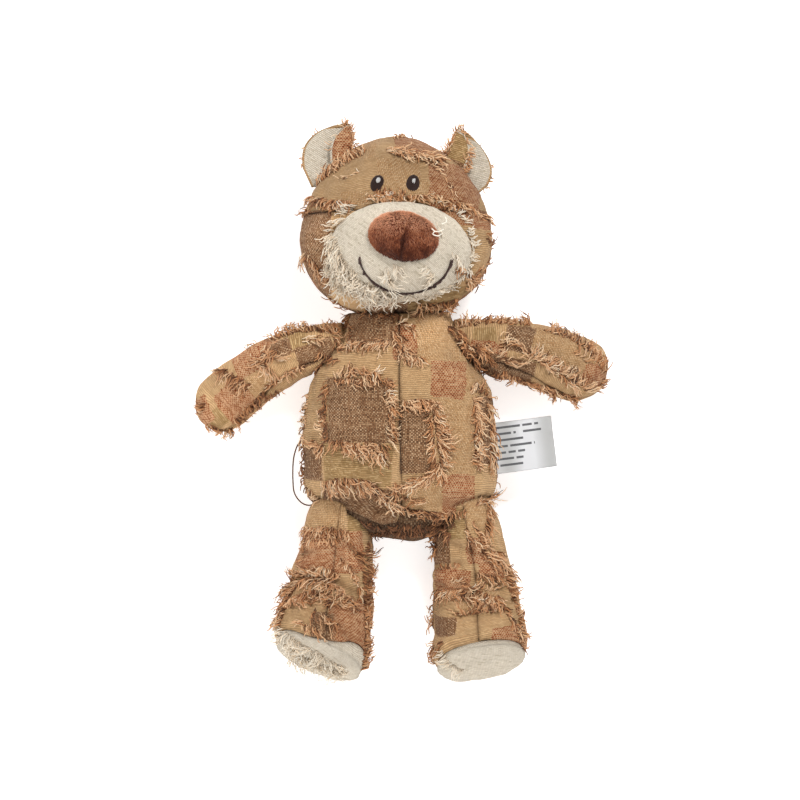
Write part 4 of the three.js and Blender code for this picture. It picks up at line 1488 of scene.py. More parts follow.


def fringe(bundle, seed, line, flow, length, mix, per_mm=3.2, depth=1.0, tuft=7, **shape):
    """A fringe along a line in plan. Flow is the way the strands fall, in degrees from +X towards +Y."""
    rng = np.random.default_rng(seed)
    roots, normals, kept = drop(scatter_line(line, per_mm * DENSITY, depth, rng))
    count = len(roots)
    if not count:
        return
    tufts = np.arange(count) // tuft
    shared = rng.normal(0, 1, (5, tufts[-1] + 1))  # the same for a whole tuft
    turn, lean, size, phase, shift = shared[:, tufts]
    turn = np.radians(flow + 16 * turn + rng.normal(0, 8, count))
    flows = np.stack([np.cos(turn), np.sin(turn), np.zeros(count)], axis=-1)
    lengths = np.maximum(length * rng.uniform(0.65, 1.25, count) * (1 + 0.2 * size), 2)
    tints = rng.triangular(*MIXES[mix], count) + (0.06 * shift if mix != "cream" else 0)
    odd = rng.uniform(0, 1, count) < (0.1 if mix != "cream" else 0)
    tints = np.clip(np.where(odd, rng.uniform(0.7, 1, count), tints), 0, 1)
    phase = 3 * phase + rng.normal(0, 0.5, count)
    bundle.add(roots, normals, flows, lengths, tints, rng, lean=0.75 * lean, phase=phase, **shape)
    if mix == "cream":
        return
    # short dark strands under the long ones: painted shadow in the fringe
    under = rng.uniform(0, 1, count) < (0.55 if per_mm > DENSE else 0)
    dark = rng.uniform(0.72, 0.98, under.sum())
    bundle.add(roots[under], normals[under], flows[under], 0.5 * lengths[under], dark, rng,
               lean=0.5 * lean[under], rise=20, droop=10)


def fray(bundle, seed, table, **shape):
    """Adds all the fringes of a table to a bundle."""
    for number, (flow, length, mix, per_mm, *places) in enumerate(table):
        fringe(bundle, seed + number, np.reshape(places, (-1, 2)), flow, length, mix, per_mm, **shape)


# %% [markdown]
# ## The fringes of the body
# The table lists each fringe: the way it falls in degrees, the strands' length, the mix of yarn colours, the
# strands per mm, and then x and y of the places that its line runs through. The body's are the most worn,
# with dense ragged rows between the blocks. They could be found from the blocks' edges, but on a real bear
# only some edges have frayed, so each is listed. A piece should not grow too large, so the body's threads
# are two pieces, on the chest and on the belly.

# %% Fringes of the body
DOWN, RIGHT = -90, 0
WAIST = -20  # a fringe that starts below this belongs to the belly
body_fringes = [
    (-100, 8, "peach", 4.4, -29, 35, -16, 34, -6, 35),
    (-70, 9, "rust", 4, -5, 41, -2, 33, 4, 28),
    (-75, 9, "peach", 3.4, -3, 35, 4, 28, 12, 25),
    (-50, 8, "blond", 2.6, -1, 45, 6, 42),
    (75, 7, "peach", 3.2, -37, 14, -24, 15, -12, 15),
    (-80, 6, "rust", 2.6, -37, 13, -12, 14),
    (-60, 9, "peach", 2, -22, 16, -14, 18),
    (-50, 7, "rust", 4, -8, 14, -6, 0, -6, -20),
    (20, 7, "blond", 2, -9, 6, -8, -2),
    (-30, 7, "blond", 2, -8, -12, -7, -20),
    (-110, 6, "brown", 2.4, -41, 12, -42, -4, -41, -20),
    (160, 5, "blond", 2.4, -43, -6, -42, -20),
    (-130, 9, "peach", 4.4, -50, -21, -43, -24),
    (-70, 7, "rust", 2.8, -41, -20, -26, -22, -8, -23),
    (-50, 12, "peach", 3.4, -33, -22, -20, -24, -8, -26),
    (-55, 11, "blond", 2, -26, -26, -14, -29),
    (-60, 9, "peach", 4.4, -44, -44, -33, -42, -20, -43, -13, -47, -5, -56),
    (-75, 6, "rust", 2.4, -42, -44, -20, -44, -6, -56),
    (-50, 9, "blond", 1.4, -30, -43, -16, -45),
    (-170, 5, "blond", 2.2, -53, 6, -55, -14, -56, -26),
    (-170, 5, "brown", 1.8, -55, -26, -56, -50),
    (-75, 8, "peach", 4.2, 1, 1, 12, 2, 21, 1),
    (-110, 6, "rust", 2.6, 2, 0, 20, 0),
    (-40, 8, "peach", 4.4, 18, -1, 20, -14, 22, -30, 21, -40),
    (-30, 9, "blond", 2.8, 19, -8, 22, -26),
    (-120, 6, "rust", 2.8, 17, -4, 19, -38),
    (-130, 10, "peach", 3.2, 22, -33, 17, -39, 8, -42, -1, -47),
    (-110, 7, "rust", 2.6, 22, -36, 14, -40, 6, -44),
    (60, 7, "peach", 2.6, 38, 6, 46, 6, 50, 3),
    (-50, 8, "blond", 4, 41, 4, 42, -12, 42, -34),
    (-120, 6, "rust", 2.6, 42, 2, 44, -34),
    (-60, 8, "peach", 4, 49, 0, 51, -16, 50, -34),
    (-40, 7, "rust", 3, -1, -58, 10, -61, 22, -62),
    (-80, 5, "rust", 2.4, 24, -63, 38, -60),
    (30, 8, "peach", 3.2, 42, -57, 54, -53),
    (-60, 5, "brown", 2.2, -34, 56, -29, 44, -27, 36),
    (-60, 6, "brown", 2.4, 26, 44, 38, 30, 46, 20),
    (-100, 7, "peach", 2.2, -4, -44, -3, -58),
    (RIGHT, 5, "rust", 2.2, 53, 14, 56, -10, 56, -46),
    # dark fringes between the legs: dark strands as painted shade in the crotch
    (DOWN, 4, "dark", 2, -24, -66, -4, -73, 14, -71, 30, -67),
    (-110, 4, "dark", 1.2, -10, -70, 20, -68),
    (DOWN, 4, "dark", 1.6, -18, -74, 24, -74),
    (-150, 7, "rust", 1.4, 0, -52, 14, -54),
    (-140, 6, "blond", 2, -54, -47, -46, -54),
]
chest, belly = Bundle("threads_chest", "patchwork_cloth"), Bundle("threads_belly", "patchwork_cloth")
for number, (flow, length, mix, per_mm, *places) in enumerate(body_fringes):
    bundle = belly if places[1] < WAIST else chest
    fringe(bundle, 900 + number, np.reshape(places, (-1, 2)), flow, length, mix, per_mm)

# %% [markdown]
# ## The loose thread
# A sewing thread has worked loose along the right side seam. Both its ends are still caught in the seam,
# and it bows out and sags a little between them. A simulation would settle it, but with both ends held its
# shape is known, so it is a smooth curve through a few places.

# %% The loose sewing thread
STRAY_ROUTE = [
    (-54, -20, 44), (-58, -22.5, 42.5), (-60.6, -28, 38), (-61.8, -35, 35), (-61.9, -44, 34),
    (-61, -51, 35.5), (-57.5, -56, 38.5), (-53, -58, 40), (-47.5, -57, 41),
]
STRAY_DIAMETER = 0.8
BLACK_YARN = 0.99  # its tint
route = smooth_line(STRAY_ROUTE, 60)
stray = Bundle("stray_thread", "patchwork_cloth")
stray.add_line(route, STRAY_DIAMETER / 2, BLACK_YARN, sides=8)
stray = stray.make(THREAD)

# %% [markdown]
# ## The fringes of the head and the muzzle
# Short rows run over the brow and the crown. The muzzle's own cloth is cream, and its rim has frayed most
# on the bear's right, below the smile, where long pale strands hang over the chin in several layers.

# %% Fringes of the head
head_fringes = [
    (-40, 7, "blond", 2.8, -9, 141, 4, 138, 13, 136, 22, 135),
    (-20, 8, "peach", 2.4, -8, 140, 6, 139, 20, 137),
    (110, 6, "rust", 3, -2, 150, 6, 152),
    (60, 4, "rust", 1.6, 8, 153, 24, 148),
    (DOWN, 7, "rust", 4.6, -52, 117, -40, 112, -28, 111),
    (-140, 7, "rust", 4, -56, 113, -52, 108),
    (-60, 4.5, "peach", 4.4, -18, 115, -4, 113, 10, 114, 20, 114, 28, 111),
    (70, 3.5, "rust", 3, -14, 115, -4, 114, 2, 115),
    (-50, 6.5, "rust", 4, 31, 112, 42, 107, 52, 104),
    (-160, 6, "brown", 3, -58, 100, -60, 84, -56, 70),
    (-110, 7, "rust", 3, -55, 84, -46, 76, -38, 70),
    (-50, 7, "rust", 3.4, 31, 75, 38, 71, 45, 66),
    (RIGHT, 5, "brown", 1.6, 48, 98, 52, 84, 47, 72),
    (115, 7.5, "peach", 4.6, -48, 123, -40, 129, -30, 136, -21, 140),
    (-150, 8, "brown", 2.6, -44, 60, -34, 55, -29, 50),
    (-80, 8, "rust", 3.6, 8, 56, 20, 55, 32, 58),
    (DOWN, 5, "brown", 2, -26, 52, 0, 50),
    (-60, 4, "blond", 0.5, 12, 140, 22, 128, 30, 118),
    (200, 4, "blond", 0.4, -40, 122, -20, 130),
    (-130, 6, "brown", 2, -57, 72, -49, 60, -40, 54),
    (30, 5, "rust", 1.8, 50, 120, 44, 132),
    (-20, 5, "rust", 1.8, 36, 64, 46, 76),
]
crown = Bundle("threads_head", "patchwork_cloth")
fray(crown, 1000, head_fringes, depth=1.5, bend=0.9)

# %% Fringes of the muzzle
muzzle_fringes = [
    (-105, 10, "cream", 6.4, -41, 80, -32, 67, -16, 61, -3, 59),
    (-105, 10, "cream", 4.5, -38, 84, -28, 70, -12, 62),
    (-120, 8, "cream", 3.2, -36, 92, -33, 80, -24, 70),
    (-95, 9, "cream", 4, -20, 66, -8, 62),
    (190, 8, "cream", 1.8, -31, 103, -36, 98, -39, 92),
    (175, 8, "cream", 1.8, -24, 109, -32, 104),
    (140, 3, "cream", 1.2, -18, 113, -4, 115),
    (-110, 8, "cream", 4.5, -8, 74, -6, 66),
    (-130, 5.5, "cream", 3.6, 13, 74, 18, 69, 14, 65),
    (-20, 4, "cream", 2.6, 36, 98, 40, 88, 38, 76),
    (-60, 4.5, "cream", 2.6, 38, 76, 28, 65, 12, 58),
    (30, 4, "cream", 2.2, 20, 111, 30, 107, 36, 100),
    (-80, 4.5, "cream", 2.6, -3, 60, 10, 59),
    (-120, 8, "cream", 3.4, -37, 92, -38, 84, -34, 74),
    (-60, 7, "cream", 3, -4, 76, 0, 70),
    (170, 6, "cream", 3, 20, 92, 22, 91),
    (-100, 6, "cream", 2, 28, 84, 34, 76),
]
muzzle_rim = Bundle("threads_muzzle", "cream_cloth")
fray(muzzle_rim, 1100, muzzle_fringes, rise=52, droop=0, radius=(0.24, 0.36))

# %% Loose ends beside the nose
CURL_RADIUS, CREAM_YARN = 0.36, 0.0
CURLS = [
    [(16.5, 94, 113), (18, 92.5, 114), (17.2, 91, 113), (20, 90.2, 111.5), (22, 91.5, 110)],
    [(18, 92.5, 113.6), (20.5, 92.6, 112), (23, 94, 109)],
    [(22, 97, 105), (24.5, 98.5, 104), (24, 101, 103)],
]
for places in CURLS:
    muzzle_rim.add_line(smooth_line(places, 18), CURL_RADIUS, CREAM_YARN)
print("curls beside the nose", len(CURLS))

# %% [markdown]
# ## The fringes of the arms, the legs and the soles
# On the limbs the rows wrap round, so that many strands stand out past the outline. The soles are cream
# cloth, and their long pale strands are finer and looser than the others.

# %% Fringes of the arms
right_arm_fringes = [
    (-150, 10, "peach", 4, -70, 30, -78, 24),
    (-60, 8, "blond", 2.4, -84, 25, -72, 18),
    (30, 8, "peach", 2, -80, 28, -68, 24),
    (-120, 8, "rust", 3.4, -102, 20, -93, 14, -85, 11),
    (120, 7, "rust", 3.6, -74, 36, -60, 41, -46, 41, -34, 40),
    (-20, 8, "blond", 1.2, -56, 36, -46, 36),
    (-40, 7, "rust", 2.6, -40, 42, -34, 30),
    (-110, 5, "rust", 2.6, -76, 10, -66, 17, -54, 22),
    (-60, 6, "brown", 2.4, -96, -10, -86, 0, -78, 7),
    (-90, 6, "rust", 3.4, -112, -12, -104, -16, -97, -14),
    (200, 5, "rust", 2.6, -113, 0, -115, -6),
    (120, 4, "peach", 1.6, -104, 24, -92, 31, -82, 35),
    (-110, 9, "peach", 1.6, -93, 12, -90, 6),
    (-70, 5, "brown", 1.6, -84, -2, -70, 8),
    (-130, 8, "brown", 1.4, -46, 30, -34, 24),
    (-110, 5, "brown", 4, -44, 23, -52, 14),
]
left_arm_fringes = [
    (40, 8, "blond", 4.6, 72, 27, 84, 22, 96, 15, 108, 7),
    (-40, 7, "peach", 2.4, 78, 25, 100, 10),
    (70, 6, "rust", 3.4, 30, 43, 50, 46, 74, 45),
    (60, 6.5, "rust", 4.2, 82, 42, 96, 38, 108, 30, 117, 18),
    (-80, 6, "rust", 3.4, 58, 18, 72, 12, 84, 9),
    (-60, 7, "rust", 3.6, 80, 10, 92, 6, 102, 3),
    (-60, 7, "peach", 3, 34, 36, 44, 30, 50, 34),
    (20, 9, "blond", 1.4, 56, 36, 54, 26, 66, 22),
    (150, 8, "blond", 1.2, 62, 38, 74, 26),
    (-50, 7, "brown", 2.6, 42, 34, 52, 22),
    (-20, 5, "rust", 3.2, 112, 8, 118, 14),
    (20, 8, "blond", 0.8, 96, 30, 106, 24),
    (-100, 5, "brown", 2, 48, 20, 58, 16),
    (-30, 6, "brown", 2.6, 32, 42, 36, 26),
]
# %% Fringes of the legs and the soles
right_leg_fringes = [
    (DOWN, 6, "rust", 4.2, -56, -72, -44, -70, -30, -72),
    (-100, 7, "peach", 4, -58, -95, -46, -93, -35, -97),
    (-100, 9, "peach", 5, -66, -109, -56, -101, -45, -100, -34, -105, -28, -113),
    (-120, 8, "rust", 3, -64, -112, -50, -106, -34, -111),
    (190, 8, "rust", 4, -60, -100, -64, -112, -70, -126),
    (0, 6, "rust", 3.4, -20, -80, -18, -100, -20, -120, -20, -140, -22, -152),
    (-30, 5, "brown", 1.6, -22, -84, -20, -130),
    (-80, 8, "rust", 2.2, -50, -116, -36, -124),
    (-110, 6, "peach", 1.8, -58, -122, -44, -130),
    (190, 4, "rust", 1.8, -54, -70, -56, -90),
    (160, 8, "peach", 2.2, -62, -99, -48, -96, -34, -100),
    (-20, 7, "peach", 1.6, -62, -112, -44, -110, -30, -114),
    (-110, 5, "peach", 2.4, -34, -88, -26, -98, -22, -108),
    (-80, 4, "rust", 1.6, -54, -78, -36, -76),
    (-60, 6, "brown", 1.8, -30, -76, -24, -88),
    (-60, 7, "peach", 2.6, -48, -100, -46, -108),
]
left_leg_fringes = [
    (-110, 8, "peach", 5, 22, -107, 34, -106, 46, -107, 58, -113),
    (-70, 7, "rust", 2.4, 24, -110, 56, -110),
    (-60, 8, "rust", 3.4, 50, -58, 48, -72),
    (-60, 8, "peach", 3, 36, -72, 44, -80, 52, -90),
    (180, 6, "rust", 3, 20, -80, 17, -98, 18, -116, 18, -134, 19, -150),
    (0, 6, "rust", 2.8, 55, -84, 60, -100, 66, -116, 70, -134),
    (-90, 5, "rust", 2.2, 22, -92, 34, -91),
    (-40, 5, "rust", 2.2, 58, -116, 66, -128, 70, -140),
    (80, 6, "rust", 2.4, 32, -120, 54, -117),
    (-130, 7, "brown", 3, 22, -60, 28, -76),
    (-50, 7, "peach", 2.6, 44, -96, 58, -100),
    (200, 6, "brown", 3, 20, -68, 20, -84),
    (-140, 5, "rust", 2, 24, -134, 20, -142),
    (-30, 8, "peach", 3, 52, -86, 60, -94, 64, -106),
    (20, 6, "peach", 1.8, 28, -100, 40, -104, 54, -106),
    (-40, 5, "peach", 2, 40, -66, 46, -78, 56, -88),
]
sole_fringes = [
    (-115, 11, "cream", 2, -66, -130, -56, -137, -44, -143),
    (-105, 10, "cream", 2.8, -68, -136, -56, -145, -42, -151, -30, -155),
    (-60, 9, "cream", 1.4, -52, -142, -34, -150),
    (200, 7, "cream", 2.4, -68, -127, -70, -136),
    (-130, 8, "cream", 2, 23, -140, 28, -148, 36, -153),
]
# %% Make the thread pieces
limb_bundles = {
    "threads_arm_right": right_arm_fringes,
    "threads_arm_left": left_arm_fringes,
    "threads_leg_right": right_leg_fringes,
    "threads_leg_left": left_leg_fringes,
    "threads_soles": sole_fringes,
}
LOOSE = {"rise": 55, "droop": -12, "bend": 0.6, "radius": (0.22, 0.32)}  # strands of cream cloth
for start, (name, table) in enumerate(limb_bundles.items()):
    cream = name == "threads_soles"
    bundle = Bundle(name, "cream_cloth" if cream else "patchwork_cloth")
    fray(bundle, 1200 + 100 * start, table, **(LOOSE if cream else {}))
    bundle.make(THREAD)
for bundle in (chest, belly, crown, muzzle_rim):
    bundle.make(THREAD)

# %% [markdown]
# ## The ears
# An ear is two leaves of cloth sewn round their edge and turned: cream in front, patchwork behind. Its root
# is caught in the crown seam. The inner rim curls forward and over, so that its brown back shows beside the
# head, while the rest is a shallow cup that faces outwards. A cross-section whose slope grows towards that
# rim makes both, and the leaf's outline sets how wide the section is at each height. A folded mesh would do
# too, but here the length across the cloth is kept, so the weave is not stretched at the fold. A dip lowers
# the side that faces out.

# %% The shape of an ear
EAR_CUP = 14  # degrees that the cup bends to each side
LAY_BACK = 0.10  # how far the tip leans back, as a share of the height


def ear_sheet(height, width, fold, fold_degrees, dip, rows=30, columns=64):
    """Points of an ear in its own axes: x towards the folded rim, y up the ear, z to the front."""
    f = np.linspace(0.0, 1, rows)[:, None]
    g = np.linspace(0, 1, columns)[None]
    outline = np.sqrt(np.maximum(1 - (1.72 * np.clip(f - 0.42, 0, 1)) ** 2.6, 0.01))
    half = width / 2 * outline * (0.80 + 0.2 * np.clip(f / 0.35, 0, 1))
    across = (2 * g - 1) * half
    share = across / (width / 2)
    slope = np.radians(EAR_CUP) * share
    past = np.clip((share - fold) / 0.2 + 0.5, 0, 1)
    slope += np.radians(fold_degrees) * past * past * (3 - 2 * past)
    step = np.diff(across, axis=1)
    middle = (slope[:, 1:] + slope[:, :-1]) / 2
    x = np.concatenate([across[:, :1], across[:, :1] + np.cumsum(step * np.cos(middle), axis=1)], axis=1)
    z = np.concatenate([0 * across[:, :1], np.cumsum(step * np.sin(middle), axis=1)], axis=1)
    z -= z[:, columns // 2:columns // 2 + 1]
    y = f * height * (1 - dip * np.clip(0.3 - share, 0, 1.3))
    z = z + LAY_BACK * height * (f - 0.3) ** 2
    return np.stack([x, y, z], axis=-1), np.stack([across, y, 0 * y], axis=-1)


def turn_points(points, mirror, yaw, turn, pitch, root):
    """Mirrors, turns and moves points: yaw about y, pitch about x, then turn about z, in degrees."""
    points = points * [-1 if mirror else 1, 1, 1]
    for (a, b), degrees in (((2, 0), yaw), ((1, 2), pitch), ((0, 1), turn)):
        moved = points.copy()
        moved[..., a], moved[..., b] = turned(points[..., a], points[..., b], math.radians(degrees))
        points = moved
    return points + root


# %% [markdown]
# Each ear is sewn from its two leaves, and the sewn edge draws them together, so the gap between them
# closes there. The leaves are thinner than the body's covers, because nothing is stuffed into them.

# %% Make the ears
EAR_HEIGHT, EAR_WIDTH = 36, 43  # the flat pieces that the leaves are cut from
EAR_GAP = 0.5  # from the middle to each leaf
LEAF_THICKNESS = 0.45
EAR_TONE = 1.02
EARS = {
    "right": {
        "shape": {"height": 34.5, "width": 44, "fold": 0.38, "fold_degrees": 158, "dip": 0.03},
        "place": {"mirror": False, "yaw": -12, "turn": 4, "pitch": -6, "root": (-33, 124, 50)},
    },
    "left": {
        "shape": {"height": 32.5, "width": 43.5, "fold": 0.38, "fold_degrees": 160, "dip": 0.16},
        "place": {"mirror": True, "yaw": 14, "turn": -23, "pitch": -2, "root": (26, 124, 50)},
    },
}
ear_rims = {}
for side, ear in EARS.items():
    sheet, flat = ear_sheet(**ear["shape"])
    sheet = turn_points(sheet, **ear["place"])
    facing = grid_normals(sheet)
    if facing[15, 10, 2] < 0:
        facing = -facing
    ear_rims[side] = (sheet, facing)
    edge = np.minimum(np.abs(flat[..., 0] - flat[:, :1, 0]), np.abs(flat[..., 0] - flat[:, -1:, 0]))
    edge = np.minimum(edge, (flat[-1, 0, 1] - flat[..., 1]) * 0.8)
    ripple = 0.5 * waves(sheet, 14, 77) * (1 - np.exp(-edge / 3))
    for layer, sign in (("front", 1), ("back", -1)):
        puff = EAR_GAP * (1 - np.exp(-edge / 2.5)) + 0.02
        points = sheet + facing * (ripple + sign * puff)[..., None]
        grid = {"points": points, "normals": facing * sign, "cloth": flat, "seam": edge + 0.8, "wrap": False}
        outward = np.cross(np.gradient(points, axis=1), np.gradient(points, axis=0))
        for kind in KINDS:
            grid[kind] = np.full(points.shape[:2], OUTSIDE)
        grid["tone"] = np.full(points.shape[:2], EAR_TONE)
        if layer == "back":
            grid["rust" if side == "right" else "olive"] = inside_blocks(flat, [block(2, 30, 12, 40)])
            # the back leaf is painted dark near its root, as painted shade where the ear meets the head
            grid["dark"] = inside_blocks(flat, [block(2, 30, 0, 14)])
        cream = layer == "front"
        inner = points - grid["normals"] * LEAF_THICKNESS
        turned_over = not np.sum(outward * facing) * sign < 0
        piece = plate(f"ear_{side}_{layer}_leaf", grid, inner, CREAM if cream else PATCHWORK, turned_over)
        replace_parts(piece, f"ear_{side}_{layer}")
        size = (EAR_WIDTH * MM, EAR_HEIGHT * MM)
print("ears", list(ear_rims))

# %% [markdown]
# ## Threads on the ears
# The rims of the ears are frayed as well: thickly along the fold, and a little along the two side edges.
# The ears are not in the tree that the rays use, so the roots are picked from the points of the ear's own
# grid.

# %% Fringes of the ears
ear_threads = Bundle("threads_ears", "patchwork_cloth")
rng = np.random.default_rng(61)
for side, (sheet, facing) in ear_rims.items():
    fold_column = int(sheet.shape[1] * (0.5 + EARS[side]["shape"]["fold"] / 2))
    centre = sheet[:, :fold_column].mean(axis=(0, 1))
    rows_of_threads = (  # the column of the grid, the number of threads and their length
        (fold_column, 110, 5.5),
        (-2, 60 if side == "left" else 8, 4.5),
        (1, 12, 3.0),
    )
    for column, count, length in rows_of_threads:
        rows = rng.integers(5, sheet.shape[0] - 1, count)
        columns = column + rng.integers(-1, 2, count)
        roots, normals = sheet[rows, columns], facing[rows, columns]
        normals = np.where(normals[:, 2:] < 0, -normals, normals)
        flows = roots - centre if column != -2 else sheet[rows, 10] - roots
        flows = unit(flows * [1, 1, 0]) + rng.normal(0, 0.45, (count, 3)) * [1, 1, 0]
        tints = rng.triangular(0.1, 0.5, 0.8, count)
        lengths = length * rng.uniform(0.6, 1.2, count)
        ear_threads.add(roots, normals, flows, lengths, tints, rng, rise=25, droop=-5)
ear_threads.make(THREAD)

# %% [markdown]
# ## The nose
# The nose is a firm stuffed oval of short red-brown plush. A fine pull stitch runs down its middle and
# dimples it. The body is a mesh, and the pile is thousands of very short fibres that all lean a little
# downwards. A bump alone would leave its outline hard, and the nose is what stands nearest to the eye.

# %% The body of the nose
NOSE = {"x": 1.4, "y": 90.5, "z": 104.5, "wide": 19, "high": 13.4, "deep": 11.5, "roll": math.radians(-9)}


def nose_point(out, angle, inset=1.1):
    """Points on the nose. Out is 0 at its front and 1 at its back, the angle is from the bear's left."""
    turn = out * math.pi
    x = (NOSE["wide"] - inset) * rounded(np.sin(turn), 2.2) * np.cos(angle)
    y = (NOSE["high"] - inset) * rounded(np.sin(turn), 2.2) * np.sin(angle)
    z = (NOSE["deep"] - inset) * np.cos(turn)
    pull = np.exp(-((x - 0.3) / 1.3) ** 2) * np.exp(-((y + 1.0) / 10.0) ** 2) * (np.cos(turn) > 0)
    z = z - 2.0 * pull - 1.8 * np.exp(-((x - 0.3) / 3.0) ** 2 - ((y + 4.0) / 4.0) ** 2)
    x, y = turned(x, y, NOSE["roll"])
    return np.stack([NOSE["x"] + x, NOSE["y"] + y, NOSE["z"] + z], axis=-1), pull


out, angle = np.linspace(0.004, 0.996, 44)[:, None], np.linspace(0, 2 * np.pi, 72, endpoint=False)[None]
nose_grid, _ = nose_point(out, angle + 0 * out)
index = np.arange(nose_grid.shape[0] * nose_grid.shape[1]).reshape(nose_grid.shape[:2])
index = np.concatenate([index, index[:, :1]], axis=1)
corners = (index[:-1, :-1], index[1:, :-1], index[1:, 1:], index[:-1, 1:])
quads = np.stack([corner.ravel() for corner in corners], axis=1)
front_cap, back_cap = index[0, :-1][None], index[-1, :-1][None, ::-1]
flat_nose = nose_grid.reshape(-1, 3)
plain = {"along": np.zeros(len(flat_nose)), "tint": np.full(len(flat_nose), 0.3)}
nose = make_piece("nose_body", flat_nose, [quads, front_cap, back_cap], PLUSH, plain)
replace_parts(nose, "nose")
print("nose", len(flat_nose), "points")

# %% The pile of the nose
PILE = 2.1  # length of the plush fibres in mm
FIBRES = 9500
rng = np.random.default_rng(31)
out = np.arccos(1 - rng.uniform(0, 1.25, FIBRES)) / np.pi
angle = rng.uniform(0, 2 * np.pi, FIBRES)
roots, pull = nose_point(out, angle)
ahead, _ = nose_point(out + 0.004, angle)
aside, _ = nose_point(out, angle + 0.01)
normals = unit(np.cross(ahead - roots, aside - roots))
away = roots - [NOSE["x"], NOSE["y"], NOSE["z"]]
normals *= np.where(np.sum(normals * away, axis=-1) < 0, -1, 1)[:, None]
sweep = np.stack([0.5 * np.sin(roots[:, 0] * 0.35 + roots[:, 1] * 0.2), -1 + 0 * out, 0 * out], axis=-1)
pile = Bundle("nose_pile", "nose_plush")
height = roots[:, 1] - NOSE["y"]
# painted highlight and shade: the fibres' tint is lighter towards the top of the nose and darker in the pull
# stitch's dimple
highlight_shade_tint = 0.56 + 0.045 * height + 0.25 * np.clip((height - 3) / 4, 0, 1) - 0.8 * pull
highlight_shade_tint = np.clip(highlight_shade_tint + 0.13 * rng.normal(0, 1, FIBRES) + 0.10 * waves(roots, 7, 33), 0, 1)
pile.add(roots, normals, sweep, PILE * rng.uniform(0.6, 1.2, FIBRES), highlight_shade_tint, rng,
         radius=(0.12, 0.20), rise=55, droop=-15, bend=0.5, crimp=0.0, points=3, taper=0.75)
pile.make(PLUSH)

# %% [markdown]
# ## Embroidered eyes and smile
# The eyes are satin stitch: many parallel dark threads side by side over an oval, with a smaller oval of
# white thread near the top for the glint. The smile is a line of short slanted stitches, so its edge is
# slightly toothed. Both are laid on the cloth with the same ray that roots the fringes. An eye's stitches
# are too small to be worth a tube each, so it is one domed plate with ridges.

# %% Eyes
OVAL_ROWS, OVAL_COLUMNS = 14, 48
UNDER = 0.5  # how far an oval reaches below the cloth
RIDGE, RIDGE_TURN = 0.10, 5.5  # height of a ridge in mm, and radians per mm across the stitches


def satin_oval(name, x, y, wide, high, roll, lift, white):
    """An oval of satin stitches, domed and ridged, lying on the cloth under it."""
    f = np.linspace(0, 1, OVAL_ROWS)[:, None]
    g = np.linspace(0, 2 * np.pi, OVAL_COLUMNS, endpoint=False)[None]
    ux, uy = wide * f * np.cos(g), high * f * np.sin(g)
    right, up = turned(ux, uy, math.radians(roll))
    plan = np.stack([x + right, y + up], axis=-1)
    base, _, _ = drop(plan.reshape(-1, 2))
    base = base.reshape(*plan.shape[:2], 3)
    base[..., 2] = 0.5 * base[..., 2] + 0.5 * base[..., 2].mean()
    dome = lift * np.sqrt(np.clip(1 - (f + 0 * g) ** 3, 0, 1))
    dome += RIDGE * np.sin(ux * RIDGE_TURN) * (1 - f ** 4)
    top = base + np.stack([0 * dome, 0 * dome, dome + 0.15], axis=-1)
    points = np.concatenate([top.reshape(-1, 3), (base - [0, 0, UNDER]).reshape(-1, 3)])
    outer, inner, rim = plate_faces(OVAL_ROWS, OVAL_COLUMNS, True)
    rim = rim[OVAL_COLUMNS:]  # the first row is the pole, which needs no rim
    faces = [part[:, ::-1] for part in (outer, inner, rim)]
    flat = np.stack([ux, uy, 0 * ux], axis=-1).reshape(-1, 3)
    shade = np.clip(0.35 + 0.3 * np.sin(ux * 11 + 2 * np.sin(uy)), 0, 1).ravel()
    values = {"cloth": np.tile(flat, (2, 1)), "tint": np.tile(shade, 2), "white": np.full(len(points), white)}
    piece = make_piece(name, points, faces, EMBROIDERY, values)
    weld(piece.data)
    return piece


EYES = {  # place, half sizes and roll
    "left": (6.6, 121.2, 3.7, 5.3, -8),
    "right": (-13.1, 121.4, 3.5, 4.9, -22),
}
EYE_LIFT, GLINT_LIFT = 0.75, 1.25
for side, (x, y, wide, high, roll) in EYES.items():
    eye = satin_oval(f"eye_{side}_stitches", x, y, wide, high, roll, EYE_LIFT, white=0.0)
    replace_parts(eye, f"eye_{side}")
    satin_oval(f"eye_{side}_glint", x + 0.6, y + 1.7, 1.45, 1.95, roll, GLINT_LIFT, white=1.0)
print("eyes", list(EYES))

# %% Smile
SMILE = {"x": 2.6, "y": 81, "wide": 25, "high": 20.4, "from": 186, "to": 353}
STITCHES = 92
STITCH_LENGTH, STITCH_LIFT = 2.1, 0.8
rng = np.random.default_rng(41)
sweep = np.radians(np.linspace(SMILE["from"], SMILE["to"], STITCHES))
x, y = SMILE["wide"] * np.cos(sweep), SMILE["high"] * np.sin(sweep)
line = np.stack([SMILE["x"] + x, SMILE["y"] + y], axis=-1)
roots, normals, _ = drop(line)
heading = unit(np.stack([-SMILE["wide"] * np.sin(sweep), SMILE["high"] * np.cos(sweep), 0 * sweep], axis=-1))
outward = np.stack([heading[:, 1], -heading[:, 0], 0 * sweep], axis=-1)
slant = unit(heading + 0.7 * outward)
tints = rng.uniform(0.1, 0.7, STITCHES)
starts = roots - slant * STITCH_LENGTH / 2 + normals * STITCH_LIFT
smile = Bundle("smile_stitches", "dark_embroidery")
smile.add(starts, normals, slant, np.full(STITCHES, STITCH_LENGTH), tints, rng,
          radius=(0.8, 0.88), rise=8, droop=8, bend=0.04, crimp=0.0, points=5, taper=0.2)
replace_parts(smile.make(EMBROIDERY, extra=("white",)), "smile")

# %% [markdown]
# ## The care label
# A folded satin tape is caught in the left side seam. It leaves the seam level and droops a little at its
# free end. Satin tape is springy, so a simulation would hardly bend it: a curve for the fall and two
# shallow waves for the ripple are enough. It carries only plain bars in place of print.

